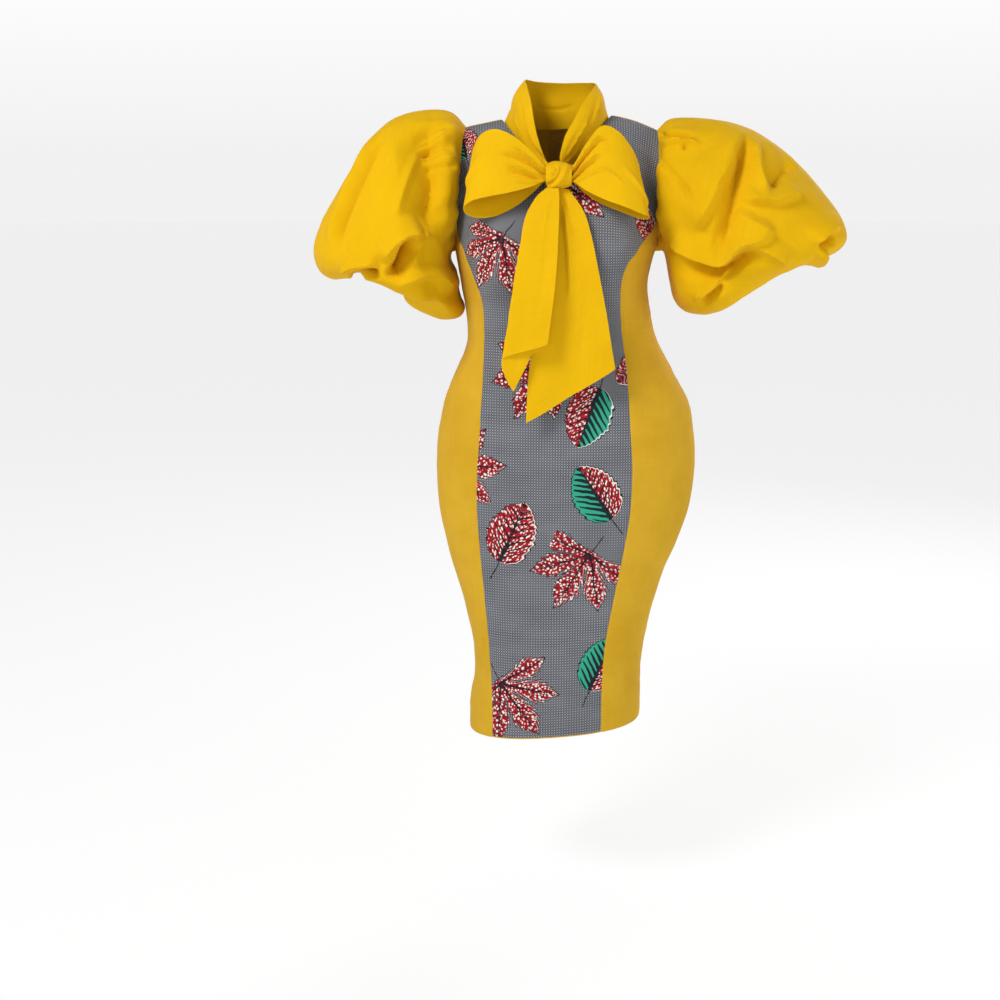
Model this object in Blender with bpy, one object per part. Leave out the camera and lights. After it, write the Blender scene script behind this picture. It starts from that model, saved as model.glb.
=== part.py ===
"""A fitted calf-length dress: printed centre panel, plain sides and back, balloon sleeves and a bow tie neck.

The dress is worn by nobody and keeps its worn form: every cloth piece is a thin wall round an open hollow.
The frame is metres, +Z up. The origin is the middle of the neck base, between the shoulder seams, where the
wearer carries the dress. The front faces -Y. Right and left are the wearer's, so right is at -X.
"""

import math
from bisect import bisect_right
from collections import namedtuple

import bmesh
import bpy
from mathutils import Matrix, Vector

# ---- Driving sizes ----
PANEL_CLOTH = 0.0015
TIE_CLOTH = 0.0020
SEAM_GAP = 0.0004
BUST_SEAM_GAP = 0.0012  # along the rows over the bust, where the front seams run aslant
BUST_SEAM_FROM_Z = -0.330
HEM_Z = -1.090
UNDERARM_Z = -0.215
HEM_TILT = 0.087  # the hem rises towards the wearer's left, where the hip carries it
HEM_TILT_FROM_Z = -0.750
FULLNESS = 0.10  # how much squarer than an ellipse the body's section is
BUST_ANGLE = math.radians(35)
BUST_SPREAD = math.radians(22)
ARMHOLE_DEPTH = 0.055
ARMHOLE_EDGE = 4  # the power with which the armhole's shape gathers at the yoke's side edge
ARMHOLE_GAP = 0.0008
NECK_RIGHT_X = -0.088
NECK_LEFT_X = 0.100
NECK_V_X = 0.003
NECK_V_RISE = 0.31  # where the V ends, as a share of the way from underarm to shoulder
NECK_BACK_DROP = 0.020
NECK_RIGHT_ALONG = 0.36  # where the neckline passes the right shoulder seam, as a share of its length
NECK_LEFT_ALONG = 0.64
NECK_STEEPNESS = 1.25  # above 1, the neckline's places crowd towards the foot of the V
CHEST_LIFT = 1.6  # how early the middle of the yoke climbs on its way to the shoulder seam
CHEST_SLOPE = (1.3, 0.92)  # how it curves back to the shoulder seam: powers of the way up, and the rest
UPPER_BACK_SLOPE = (2.2, 0.80)
CENTRE_BACK_LEAN = 3  # the centre back seam reaches the neck's middle with the height to this power
COLLAR_RISE = 0.42  # where the collar's two ends start, above the foot of the V
SIDE_PANEL_END = 0.03  # the front side panels' points stop this short of their seam's top
SHOULDER_RISE_END = 0.999  # front and back stop this short of the shoulder seam
COLLAR_INSET = 0.0036
COLLAR_OVERLAP = 0.0035
SLEEVE_BAND_HEIGHT = 0.025
ZIP_TAPE_WIDTH = 0.024
ZIP_TAPE_CLOTH = 0.0010
ZIP_TOP_RISE = 0.76
ZIP_BOTTOM_Z = -0.545

# Body sections: the side outlines' x, the depths in front of and behind the side seams, the bust's reach.
Section = namedtuple("Section", "z right left front back bust")
BODY = [
    Section(-1.090, -0.148, 0.169, 0.116, 0.112, 0.000),
    Section(-1.040, -0.146, 0.169, 0.115, 0.111, 0.000),
    Section(-0.990, -0.138, 0.169, 0.114, 0.110, 0.000),
    Section(-0.930, -0.142, 0.177, 0.114, 0.112, 0.000),
    Section(-0.865, -0.156, 0.190, 0.116, 0.118, 0.000),
    Section(-0.800, -0.175, 0.209, 0.119, 0.128, 0.000),
    Section(-0.745, -0.191, 0.231, 0.123, 0.140, 0.000),
    Section(-0.680, -0.203, 0.251, 0.128, 0.154, 0.000),
    Section(-0.610, -0.206, 0.259, 0.132, 0.163, 0.000),
    Section(-0.546, -0.202, 0.256, 0.134, 0.160, 0.000),
    Section(-0.490, -0.191, 0.244, 0.132, 0.146, 0.000),
    Section(-0.435, -0.169, 0.215, 0.126, 0.122, 0.000),
    Section(-0.385, -0.151, 0.188, 0.121, 0.100, 0.000),
    Section(-0.330, -0.152, 0.174, 0.124, 0.090, 0.004),
    Section(-0.280, -0.160, 0.168, 0.136, 0.094, 0.016),
    Section(-0.240, -0.168, 0.174, 0.149, 0.104, 0.024),
    Section(-0.215, -0.172, 0.184, 0.153, 0.110, 0.020),
]

# The princess seams of the front, from the hem up to where each one meets its armhole.
Seam = namedtuple("Seam", "z right left")
PRINCESS = [
    Seam(-1.090, -0.103, 0.094),
    Seam(-1.000, -0.105, 0.095),
    Seam(-0.926, -0.110, 0.099),
    Seam(-0.834, -0.117, 0.114),
    Seam(-0.760, -0.124, 0.127),
    Seam(-0.668, -0.130, 0.140),
    Seam(-0.598, -0.129, 0.142),
    Seam(-0.545, -0.125, 0.139),
    Seam(-0.474, -0.121, 0.134),
    Seam(-0.405, -0.118, 0.128),
    Seam(-0.352, -0.117, 0.120),
    Seam(-0.301, -0.121, 0.117),
    Seam(-0.267, -0.134, 0.119),
    Seam(-0.237, -0.145, 0.128),
    Seam(-0.215, -0.152, 0.142),
]
PRINCESS_TOP_RISE = {"right": 0.31, "left": 0.42}

# The shoulder line from tip to tip, over the neck.
Shoulder = namedtuple("Shoulder", "x z")
SHOULDERS = [
    Shoulder(-0.150, -0.012),
    Shoulder(-0.088, 0.000),
    Shoulder(-0.040, 0.006),
    Shoulder(0.050, 0.010),
    Shoulder(0.100, 0.007),
    Shoulder(0.142, -0.002),
    Shoulder(0.180, -0.017),
]

# Heights of the panels' cross rows: z up to the underarm, then shares of the way to the shoulder seam.
BODY_ROWS = [
    -1.090, -1.040, -0.985, -0.925, -0.865, -0.800, -0.740, -0.680, -0.610,
    -0.545, -0.485, -0.430, -0.385, -0.330, -0.285, -0.245, -0.215,
]  # fmt: skip
FRONT_ROWS = [0.12, 0.22, 0.28, 0.31, 0.36, 0.39, 0.42, 0.52, 0.64, 0.76, 0.88, SHOULDER_RISE_END]
BACK_ROWS = [0.12, 0.26, 0.40, 0.52, 0.64, 0.76, 0.785, 0.82, 0.87, 0.93, SHOULDER_RISE_END]

# Sleeve rings from armhole to cuff: the ring's outer and inner end in the XZ plane, its half depth in Y, and
# how far the front and back of it are swayed in X and lifted in Z.
Ring = namedtuple("Ring", "outer_x outer_z inner_x inner_z depth sway lift")
SLEEVES = {
    "right": [
        Ring(-0.184, 0.016, -0.180, -0.228, 0.092, 0.018, 0.000),
        Ring(-0.252, 0.015, -0.183, -0.248, 0.124, 0.006, 0.000),
        Ring(-0.303, -0.009, -0.180, -0.273, 0.143, 0.000, 0.000),
        Ring(-0.346, -0.066, -0.176, -0.295, 0.152, 0.000, 0.000),
        Ring(-0.379, -0.123, -0.172, -0.311, 0.155, 0.000, 0.000),
        Ring(-0.407, -0.176, -0.168, -0.324, 0.153, 0.000, 0.004),
        Ring(-0.421, -0.224, -0.174, -0.331, 0.144, 0.000, 0.012),
        Ring(-0.411, -0.260, -0.197, -0.331, 0.122, 0.000, 0.024),
        Ring(-0.384, -0.275, -0.226, -0.319, 0.094, 0.000, 0.026),
        Ring(-0.355, -0.262, -0.247, -0.306, 0.070, 0.000, 0.014),
        Ring(-0.340, -0.240, -0.252, -0.290, 0.057, 0.000, 0.000),
    ],
    "left": [
        Ring(0.208, 0.002, 0.196, -0.226, 0.092, -0.022, 0.000),
        Ring(0.275, 0.001, 0.202, -0.246, 0.124, -0.006, 0.000),
        Ring(0.334, -0.013, 0.207, -0.266, 0.143, 0.000, 0.000),
        Ring(0.385, -0.042, 0.212, -0.289, 0.152, 0.000, 0.000),
        Ring(0.427, -0.078, 0.218, -0.309, 0.155, 0.000, 0.000),
        Ring(0.466, -0.120, 0.229, -0.323, 0.154, 0.000, 0.002),
        Ring(0.500, -0.162, 0.249, -0.332, 0.146, 0.000, 0.008),
        Ring(0.513, -0.201, 0.276, -0.332, 0.126, 0.000, 0.016),
        Ring(0.490, -0.228, 0.301, -0.321, 0.098, 0.000, 0.018),
        Ring(0.444, -0.236, 0.322, -0.303, 0.074, 0.000, 0.010),
        Ring(0.408, -0.220, 0.332, -0.280, 0.058, 0.000, 0.000),
    ],
}
SLEEVE_AROUND = 34
GATHERS = 9
GATHER_DEPTH = 0.0045
GATHER_RINGS = 2.2  # the gathers at the armhole fade out over this many rings
GATHER_START = 0.6  # below 1, the gathers are deepest close to the armhole
FOLD_FULLNESS = 0.7  # below 1, a fold keeps its depth for longer between its two ends

# The largest folds of the sleeves: where round the sleeve (0 at the top, 90 at the front), which rings they
# run between at their two ends, how wide in degrees and how deep in metres. Below zero is a trough.
Fold = namedtuple("Fold", "turn_start turn_end ring_start ring_end width depth")
SLEEVE_FOLDS = {
    "right": [
        Fold(30, 62, 0.6, 7.4, 13, -0.013),
        Fold(52, 86, 1.0, 7.0, 16, 0.010),
        Fold(88, 118, 1.2, 5.6, 15, -0.016),
        Fold(120, 150, 2.4, 9.2, 14, -0.014),
        Fold(140, 128, 1.6, 7.8, 13, 0.010),
        Fold(205, 200, 1.4, 8.0, 14, -0.013),
        Fold(245, 262, 0.8, 7.2, 17, 0.011),
        Fold(285, 270, 1.0, 8.2, 15, -0.015),
        Fold(325, 318, 1.2, 7.6, 16, -0.010),
    ],
    "left": [
        Fold(40, 66, 0.8, 4.8, 13, 0.014),
        Fold(62, 90, 1.6, 6.6, 15, -0.014),
        Fold(96, 80, 3.2, 8.4, 13, 0.013),
        Fold(120, 110, 2.0, 8.8, 14, -0.015),
        Fold(150, 142, 1.6, 8.4, 15, 0.010),
        Fold(205, 212, 1.4, 8.2, 14, -0.013),
        Fold(240, 250, 1.0, 7.4, 16, 0.011),
        Fold(278, 268, 1.0, 8.4, 15, -0.014),
        Fold(322, 310, 0.9, 7.8, 16, -0.012),
    ],
}

# The tie collar round the neck: place along the neckline, and its free edge.
CollarRow = namedtuple("CollarRow", "along x y z bulge")
COLLAR = [
    CollarRow(0.000, -0.005, -0.118, -0.078, 0.000),
    CollarRow(0.060, -0.014, -0.118, -0.062, 0.005),
    CollarRow(0.130, -0.023, -0.114, -0.038, 0.009),
    CollarRow(0.200, -0.031, -0.104, -0.008, 0.010),
    CollarRow(0.270, -0.037, -0.080, 0.026, 0.009),
    CollarRow(0.335, -0.045, -0.040, 0.056, 0.008),
    CollarRow(0.395, -0.048, 0.000, 0.068, 0.007),
    CollarRow(0.450, -0.028, 0.036, 0.066, 0.007),
    CollarRow(0.500, 0.012, 0.050, 0.064, 0.007),
    CollarRow(0.550, 0.050, 0.038, 0.064, 0.006),
    CollarRow(0.605, 0.072, 0.002, 0.062, 0.005),
    CollarRow(0.665, 0.069, -0.040, 0.053, 0.006),
    CollarRow(0.730, 0.050, -0.080, 0.026, 0.009),
    CollarRow(0.800, 0.035, -0.104, -0.002, 0.010),
    CollarRow(0.870, 0.021, -0.114, -0.026, 0.009),
    CollarRow(0.940, 0.013, -0.118, -0.054, 0.005),
    CollarRow(1.000, 0.009, -0.118, -0.077, 0.000),
]

# Where the collar's two ends tuck in behind the knot: the wearer's right end, then the left.
Tuck = namedtuple("Tuck", "x foot_y foot_z free_y free_z")
TUCKS = [
    Tuck(-0.003, -0.1240, -0.0850, -0.1268, -0.0775),
    Tuck(0.015, -0.1240, -0.0850, -0.1268, -0.0775),
]
TUCK_LENGTH = 0.04  # as a share of the way along the collar

# Bow loops, out from the knot in front and back to it behind: the strip's place and its two edges.
LoopRow = namedtuple("LoopRow", "top_x top_y top_z bottom_x bottom_y bottom_z")
LOOPS = {
    "right": [
        LoopRow(-0.004, -0.152, -0.083, -0.004, -0.154, -0.100),
        LoopRow(-0.016, -0.154, -0.081, -0.016, -0.157, -0.104),
        LoopRow(-0.038, -0.157, -0.062, -0.039, -0.166, -0.117),
        LoopRow(-0.067, -0.157, -0.036, -0.071, -0.177, -0.131),
        LoopRow(-0.096, -0.150, -0.021, -0.106, -0.181, -0.141),
        LoopRow(-0.120, -0.137, -0.027, -0.135, -0.175, -0.146),
        LoopRow(-0.134, -0.124, -0.050, -0.147, -0.162, -0.148),
        LoopRow(-0.134, -0.113, -0.062, -0.144, -0.149, -0.155),
        LoopRow(-0.119, -0.107, -0.054, -0.125, -0.141, -0.162),
        LoopRow(-0.090, -0.107, -0.046, -0.095, -0.142, -0.159),
        LoopRow(-0.060, -0.115, -0.058, -0.061, -0.142, -0.143),
        LoopRow(-0.034, -0.126, -0.072, -0.034, -0.141, -0.122),
        LoopRow(-0.016, -0.137, -0.081, -0.016, -0.141, -0.105),
        LoopRow(-0.004, -0.140, -0.083, -0.004, -0.141, -0.100),
    ],
    "left": [
        LoopRow(0.024, -0.152, -0.083, 0.024, -0.154, -0.100),
        LoopRow(0.036, -0.154, -0.079, 0.036, -0.157, -0.105),
        LoopRow(0.055, -0.157, -0.050, 0.057, -0.167, -0.120),
        LoopRow(0.080, -0.155, -0.015, 0.088, -0.178, -0.134),
        LoopRow(0.107, -0.146, -0.022, 0.122, -0.181, -0.146),
        LoopRow(0.130, -0.137, -0.046, 0.150, -0.171, -0.154),
        LoopRow(0.143, -0.131, -0.072, 0.161, -0.156, -0.158),
        LoopRow(0.142, -0.122, -0.082, 0.158, -0.144, -0.164),
        LoopRow(0.127, -0.110, -0.068, 0.141, -0.140, -0.161),
        LoopRow(0.102, -0.105, -0.044, 0.112, -0.140, -0.151),
        LoopRow(0.075, -0.110, -0.050, 0.080, -0.140, -0.138),
        LoopRow(0.051, -0.124, -0.070, 0.052, -0.140, -0.120),
        LoopRow(0.036, -0.137, -0.080, 0.036, -0.141, -0.105),
        LoopRow(0.024, -0.140, -0.083, 0.024, -0.141, -0.100),
    ],
}

# The knot is a short barrel of cloth round the gathered middle of the bow.
Hoop = namedtuple("Hoop", "x half_y half_z")
KNOT_Y = -0.146
KNOT_Z = -0.0915
KNOT = [
    Hoop(-0.0115, 0.0166, 0.0166),
    Hoop(-0.0050, 0.0198, 0.0208),
    Hoop(0.0040, 0.0220, 0.0235),
    Hoop(0.0130, 0.0222, 0.0232),
    Hoop(0.0225, 0.0202, 0.0206),
    Hoop(0.0315, 0.0174, 0.0172),
]

# Hanging ends of the tie: the strip's edges at each height, and how far forward it hangs.
TailRow = namedtuple("TailRow", "z right left y")
TAIL_OVER = [
    TailRow(-0.112, -0.010, 0.010, -0.160),
    TailRow(-0.126, -0.026, 0.011, -0.167),
    TailRow(-0.155, -0.043, 0.011, -0.178),
    TailRow(-0.215, -0.055, 0.009, -0.190),
    TailRow(-0.283, -0.066, 0.004, -0.192),
    TailRow(-0.365, -0.078, -0.006, -0.190),
    TailRow(-0.400, -0.084, -0.008, -0.188),
    TailRow(-0.450, -0.092, -0.010, -0.186),
]
TAIL_UNDER = [
    TailRow(-0.1145, 0.008, 0.027, -0.151),
    TailRow(-0.150, 0.002, 0.052, -0.162),
    TailRow(-0.190, -0.003, 0.065, -0.170),
    TailRow(-0.240, -0.010, 0.076, -0.173),
    TailRow(-0.320, -0.022, 0.092, -0.171),
    TailRow(-0.384, -0.033, 0.103, -0.167),
    TailRow(-0.430, -0.039, 0.111, -0.163),
    TailRow(-0.510, -0.043, 0.118, -0.158),
]
TailEnd = namedtuple("TailEnd", "across z")
TAIL_OVER_END = [
    TailEnd(0.00, -0.364),
    TailEnd(0.25, -0.379),
    TailEnd(0.50, -0.395),
    TailEnd(0.60, -0.418),
    TailEnd(0.70, -0.449),
    TailEnd(0.80, -0.386),
    TailEnd(1.00, -0.368),
]
TAIL_UNDER_END = [
    TailEnd(0.00, -0.506),
    TailEnd(0.20, -0.488),
    TailEnd(0.50, -0.458),
    TailEnd(1.00, -0.412),
]
TAIL_FOLD_HALF = 0.008  # half the depth of the lengthwise fold in the upper tail
TAIL_FOLD_TOP = 0.003  # the same where the knot pinches it
TAIL_PINCH = 0.25  # how far down the knot pinches it, as a share of its length
TAIL_RIPPLE = 0.004  # the lower tail's soft fold: its depth, how many there are across, and where it starts
TAIL_RIPPLES = 1.25
TAIL_RIPPLE_SHIFT = 0.1

# The zip's slider and its pull tab, at the top of the centre back seam.
SLIDER_WIDTH = 0.0044
SLIDER_LENGTH = 0.0090
SLIDER_THICK = 0.0018
SLIDER_BEVEL = 0.0005
SLIDER_SEAT = -0.0002  # the back's facets lie a little inside its smooth curve, where the slider is set
SLIDER_DROP = 0.03  # how far below the tape's top, as a share of the way to the shoulder
BRIDGE_WIDTH = 0.0014
BRIDGE_START = 0.0012
BRIDGE_END = 0.0078
BRIDGE_TOP = 0.0056
BRIDGE_WALL = 0.0011
BRIDGE_SINK = 0.0006
PULL_BAR_HEIGHT = 0.0034
PULL_WIDTH = 0.0064
PULL_THICK = 0.0010
PULL_LENGTH = 0.0240
PULL_TIP_RADIUS = 0.0024
PULL_WINDOW_WIDTH = 0.0038
PULL_WINDOW_LENGTH = 0.0060
PULL_LEAN = math.radians(6)  # the tab's tip leans in to lie on the cloth

# Colours, roughness and metallic value of each finish.
Finish = namedtuple("Finish", "colour roughness metallic")
FINISHES = {
    "yellow_cloth": Finish((0.90, 0.50, 0.012), 0.62, 0.0),
    "printed_cloth": Finish((0.16, 0.17, 0.18), 0.80, 0.0),
    "zip_tape": Finish((0.72, 0.42, 0.03), 0.85, 0.0),
    "zip_metal": Finish((0.70, 0.55, 0.25), 0.35, 1.0),
}

# How finely each piece is faceted.
HALF_FRONT_COLUMNS = 5
SIDE_COLUMNS = 3
BACK_COLUMNS = 6
BAND_AROUND = 24
COLLAR_COLUMNS = 28
COLLAR_ROWS = 4
LOOP_ROWS = 4
KNOT_AROUND = 16
TAIL_OVER_COLUMNS = 10
TAIL_UNDER_COLUMNS = 7
TAIL_ROWS = 7
SMOOTH_BELOW = math.radians(50)
BISECTIONS = 40

WELD = 1e-6
STEP = 1e-4
SLOPE_STEP = 0.02  # the body's slopes across it are read over this far, as they vanish at the armholes


# ---- Tables read as smooth curves ----
def trace(rows, at, key=0):
    """A table's row at any place, on a smooth curve through its rows."""
    keys = [row[key] for row in rows]
    at = min(max(at, keys[0]), keys[-1])
    i = min(max(bisect_right(keys, at) - 1, 0), len(rows) - 2)
    span = keys[i + 1] - keys[i]
    t = (at - keys[i]) / span

    def slope(j, column):
        before, after = max(j - 1, 0), min(j + 1, len(rows) - 1)
        return (rows[after][column] - rows[before][column]) / (keys[after] - keys[before])

    values = [
        rows[i][c] * (2 * t**3 - 3 * t**2 + 1)
        + slope(i, c) * span * (t**3 - 2 * t**2 + t)
        + rows[i + 1][c] * (3 * t**2 - 2 * t**3)
        + slope(i + 1, c) * span * (t**3 - t**2)
        for c in range(len(rows[0]))
    ]
    values[key] = at
    return type(rows[0])(*values)


def curve_through(points, at):
    """A point on the smooth curve through evenly spaced points, at a place counted in points."""
    last = len(points) - 1
    i = min(max(int(at), 0), last - 1)
    t = at - i
    a, b = points[i], points[i + 1]
    before = points[i - 1] if i else a * 2 - b
    after = points[i + 2] if i + 2 <= last else b * 2 - a
    return (
        a * 2
        + (b - before) * t
        + (before * 2 - a * 5 + b * 4 - after) * t**2
        + (a * 3 - before - b * 3 + after) * t**3
    ) / 2


def mix(a, b, share):
    return a + (b - a) * share


# ---- The body's surface ----
# A place is (across, height, side): across runs from -1 at the wearer's right to 1 at the left, height from
# 0 at the hem to 1 at the underarm and 2 at the shoulder seam, and side is 1 in front and -1 behind.
def height_of(z):
    return (z - HEM_Z) / (UNDERARM_Z - HEM_Z)


def body_ring(across, z, side):
    """The closed part of the body, from hem to underarm."""
    row = trace(BODY, z)
    turn = across * math.pi / 2
    sine, cosine = math.sin(turn), math.cos(turn)
    x = (row.left + row.right) / 2 + (row.left - row.right) / 2 * sine * (1 + FULLNESS * cosine**2)
    depth = row.front if side > 0 else row.back
    y = depth * cosine * (1 + FULLNESS * sine**2)
    if side > 0:
        y += row.bust * math.exp(-(((abs(turn) - BUST_ANGLE) / BUST_SPREAD) ** 2))
    low = min(max((HEM_TILT_FROM_Z - z) / (HEM_TILT_FROM_Z - HEM_Z), 0), 1)
    return Vector((x, -side * y, z + HEM_TILT * x * low))


def yoke(across, rise, side):
    """The body above the underarm: from the chest up, and over to the shoulder seam."""
    base = body_ring(across, UNDERARM_Z, side)
    under = BODY[-1]
    right_tip, left_tip = SHOULDERS[0], SHOULDERS[-1]
    share = (base.x - under.right) / (under.left - under.right)
    top_x = mix(right_tip.x, left_tip.x, share)
    top_z = trace(SHOULDERS, top_x).z
    edge = math.sin(abs(across) * math.pi / 2) ** ARMHOLE_EDGE
    lift = mix(1 - (1 - rise) ** CHEST_LIFT, (1 - math.cos(math.pi * rise)) / 2, edge)
    early, late = CHEST_SLOPE if side > 0 else UPPER_BACK_SLOPE
    reach = abs(base.y) * (1 - rise**early) ** late
    reach = math.hypot(reach, ARMHOLE_DEPTH * math.sin(math.pi * rise) * edge)
    return Vector((mix(base.x, top_x, rise), -side * reach, mix(UNDERARM_Z, top_z, lift)))


def body_point(across, height, side):
    if height <= 1:
        return body_ring(across, mix(HEM_Z, UNDERARM_Z, height), side)
    return yoke(across, min(height - 1, 1), side)


def body_normal(across, height, side):
    """The outward unit normal, from the surface's slopes."""
    low, high = max(across - SLOPE_STEP, -1), min(across + SLOPE_STEP, 1)
    down, up = max(height - STEP, 0), min(height + STEP, 1 + SHOULDER_RISE_END)
    sideways = body_point(high, height, side) - body_point(low, height, side)
    upwards = body_point(across, up, side) - body_point(across, down, side)
    return sideways.cross(upwards).normalized() * side


def across_at(x, height, side=1):
    """Where a row of the body reaches a given x."""
    low, high = -1.0, 1.0
    for _ in range(BISECTIONS):
        middle = (low + high) / 2
        if body_point(middle, height, side).x < x:
            low = middle
        else:
            high = middle
    return (low + high) / 2


def stepped(across, height, side, distance):
    """A place that far along the row, measured on the cloth; distance is towards the left."""
    near = min(max(across, -1 + SLOPE_STEP), 1 - SLOPE_STEP)
    rate = body_point(near + SLOPE_STEP, height, side) - body_point(near - SLOPE_STEP, height, side)
    return min(max(across + distance * 2 * SLOPE_STEP / rate.length, -1), 1)


def rise_below_shoulder(drop):
    """The rise at which the middle of the yoke is that far below the shoulder seam."""
    return 1 - (drop / -UNDERARM_Z) ** (1 / CHEST_LIFT)


def neck_v(rise, end_x):
    """Where a row meets one edge of the V; end_x is where that edge ends on the shoulder."""
    drop, bottom = (1 - rise) ** CHEST_LIFT, (1 - NECK_V_RISE) ** CHEST_LIFT
    x = mix(NECK_V_X, end_x, 1 - drop / bottom)
    return across_at(x, 1 + rise, 1)


def neck_back(rise, end_x):
    """Where a row meets the back neckline on one side, or the centre back below it."""
    middle = (NECK_RIGHT_X + NECK_LEFT_X) / 2
    drop = (1 - rise) ** CHEST_LIFT * -UNDERARM_Z / NECK_BACK_DROP
    half = math.sqrt(max(1 - drop**2, 0))
    return across_at(mix(middle, end_x, half), 1 + rise, -1)


def princess(height, name):
    """Where a row meets the front seam on one side, or the armhole above it."""
    end = -1 if name == "right" else 1
    top = PRINCESS_TOP_RISE[name]
    if height <= 1:
        return across_at(getattr(trace(PRINCESS, mix(HEM_Z, UNDERARM_Z, height)), name), height)
    start = across_at(getattr(PRINCESS[-1], name), 1)
    return end if height >= 1 + top else mix(start, end, (height - 1) / top)


def centre_back(height):
    """The centre back seam's place, in the middle of the neck."""
    low = min(height, 1)
    row = trace(BODY, mix(HEM_Z, UNDERARM_Z, low))
    neck_middle = (NECK_RIGHT_X + NECK_LEFT_X) / 2
    return across_at(mix((row.right + row.left) / 2, neck_middle, low**CENTRE_BACK_LEAN), height, -1)


# ---- Cloth walls ----
def clear_scene():
    for obj in list(bpy.data.objects):
        bpy.data.objects.remove(obj, do_unlink=True)


def make_material(name, finish):
    material = bpy.data.materials.new(name)
    material.use_nodes = True
    shader = material.node_tree.nodes["Principled BSDF"]
    shader.inputs["Base Color"].default_value = (*finish.colour, 1)
    shader.inputs["Roughness"].default_value = finish.roughness
    shader.inputs["Metallic"].default_value = finish.metallic
    return material


def add_object(name, mesh_data, finish):
    """A named object from a bmesh, smooth but for its cut edges."""
    mesh = bpy.data.meshes.new(name)
    mesh_data.to_mesh(mesh)
    mesh_data.free()
    mesh.materials.append(make_material(name, FINISHES[finish]))
    mesh.shade_smooth()
    mesh.set_sharp_from_angle(angle=SMOOTH_BELOW)
    obj = bpy.data.objects.new(name, mesh)
    bpy.context.scene.collection.objects.link(obj)
    return obj


def cloth_wall(name, patches, thickness, finish):
    """A wall of cloth from patches (columns, rows, place); place(a, b) gives a point and its normal."""
    bm = bmesh.new()
    inward = bm.verts.layers.float_vector.new("inward")
    for columns, rows, place in patches:
        made = bmesh.ops.create_grid(bm, x_segments=columns, y_segments=rows, size=0.5)
        for vert in made["verts"]:
            point, normal = place(vert.co.x + 0.5, vert.co.y + 0.5)
            vert.co = point
            vert[inward] = normal * -thickness
    bmesh.ops.remove_doubles(bm, verts=bm.verts, dist=WELD)
    outside = bm.faces[:]
    made = bmesh.ops.extrude_face_region(bm, geom=outside, use_keep_orig=True)
    for item in made["geom"]:
        if isinstance(item, bmesh.types.BMVert):
            item.co += item[inward]
    bmesh.ops.recalc_face_normals(bm, faces=bm.faces)
    if bm.calc_volume(signed=True) < 0:
        bmesh.ops.reverse_faces(bm, faces=bm.faces)
    return add_object(name, bm, finish)


def surface_place(point_at, outward=1):
    """A place function for cloth_wall, from a surface with its normal taken from its own slopes."""

    def place(a, b):
        sideways = point_at(min(a + STEP, 1), b) - point_at(max(a - STEP, 0), b)
        upwards = point_at(a, min(b + STEP, 1)) - point_at(a, max(b - STEP, 0))
        return point_at(a, b), sideways.cross(upwards).normalized() * outward

    return place


def height_rows(bottom_z, top_rise, yoke_rows):
    """Heights of a panel's rows between two places."""
    low = [height_of(z) for z in BODY_ROWS if z > bottom_z + WELD]
    high = [1 + rise for rise in yoke_rows if rise < top_rise - WELD]
    return [height_of(bottom_z), *low, *high, 1 + top_rise]


def row_height(heights, b):
    """A row's height from its share of the rows."""
    at = b * (len(heights) - 1)
    i = min(int(at + WELD), len(heights) - 2)
    return mix(heights[i], heights[i + 1], at - i)


def panel_patch(columns, heights, side, right_edge, left_edge, margins=(0, 0)):
    """A patch of the body between two edges; each edge gives (across, gap to leave) at a height.

    A margin sets the first or last column's line that far from the patch's edge.
    """

    def place(a, b):
        height = row_height(heights, b)
        low, low_gap = right_edge(height)
        high, high_gap = left_edge(height)
        stops = [
            stepped(low, height, side, low_gap),
            stepped(low, height, side, margins[0]),
            stepped(high, height, side, -margins[1]),
            stepped(high, height, side, -high_gap),
        ]
        column = a * columns
        if margins[0] and column < 1:
            across = mix(stops[0], stops[1], column)
        elif margins[1] and column > columns - 1:
            across = mix(stops[2], stops[3], column - columns + 1)
        else:
            start, end = (1 if margins[0] else 0), (columns - 1 if margins[1] else columns)
            low, high = (stops[1] if margins[0] else stops[0]), (stops[2] if margins[1] else stops[3])
            across = mix(low, high, (column - start) / (end - start))
        return body_point(across, height, side), body_normal(across, height, side)

    return columns, len(heights) - 1, place


def seam_gap(height):
    """Half the gap of a front seam, measured along its row."""
    start = height_of(BUST_SEAM_FROM_Z)
    aslant = min(max((height - start) / (1 - start), 0), 1)
    return mix(SEAM_GAP, BUST_SEAM_GAP, aslant) / 2


def front_centre_panel():
    """The printed panel, in two halves that meet below the V of the neck."""
    heights = height_rows(HEM_Z, SHOULDER_RISE_END, FRONT_ROWS)

    def outer(name):
        def edge(height):
            sewn = height < 1 + PRINCESS_TOP_RISE[name] - WELD
            return princess(height, name), seam_gap(height) if sewn else 0

        return edge

    def inner(end_x):
        def edge(height):
            rise = max(height - 1, 0)
            if rise <= NECK_V_RISE + WELD:
                return across_at(NECK_V_X, height), 0
            return neck_v(rise, end_x), 0

        return edge

    patches = [
        panel_patch(HALF_FRONT_COLUMNS, heights, 1, outer("right"), inner(NECK_RIGHT_X)),
        panel_patch(HALF_FRONT_COLUMNS, heights, 1, inner(NECK_LEFT_X), outer("left")),
    ]
    cloth_wall("front_centre_panel", patches, PANEL_CLOTH, "printed_cloth")


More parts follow.
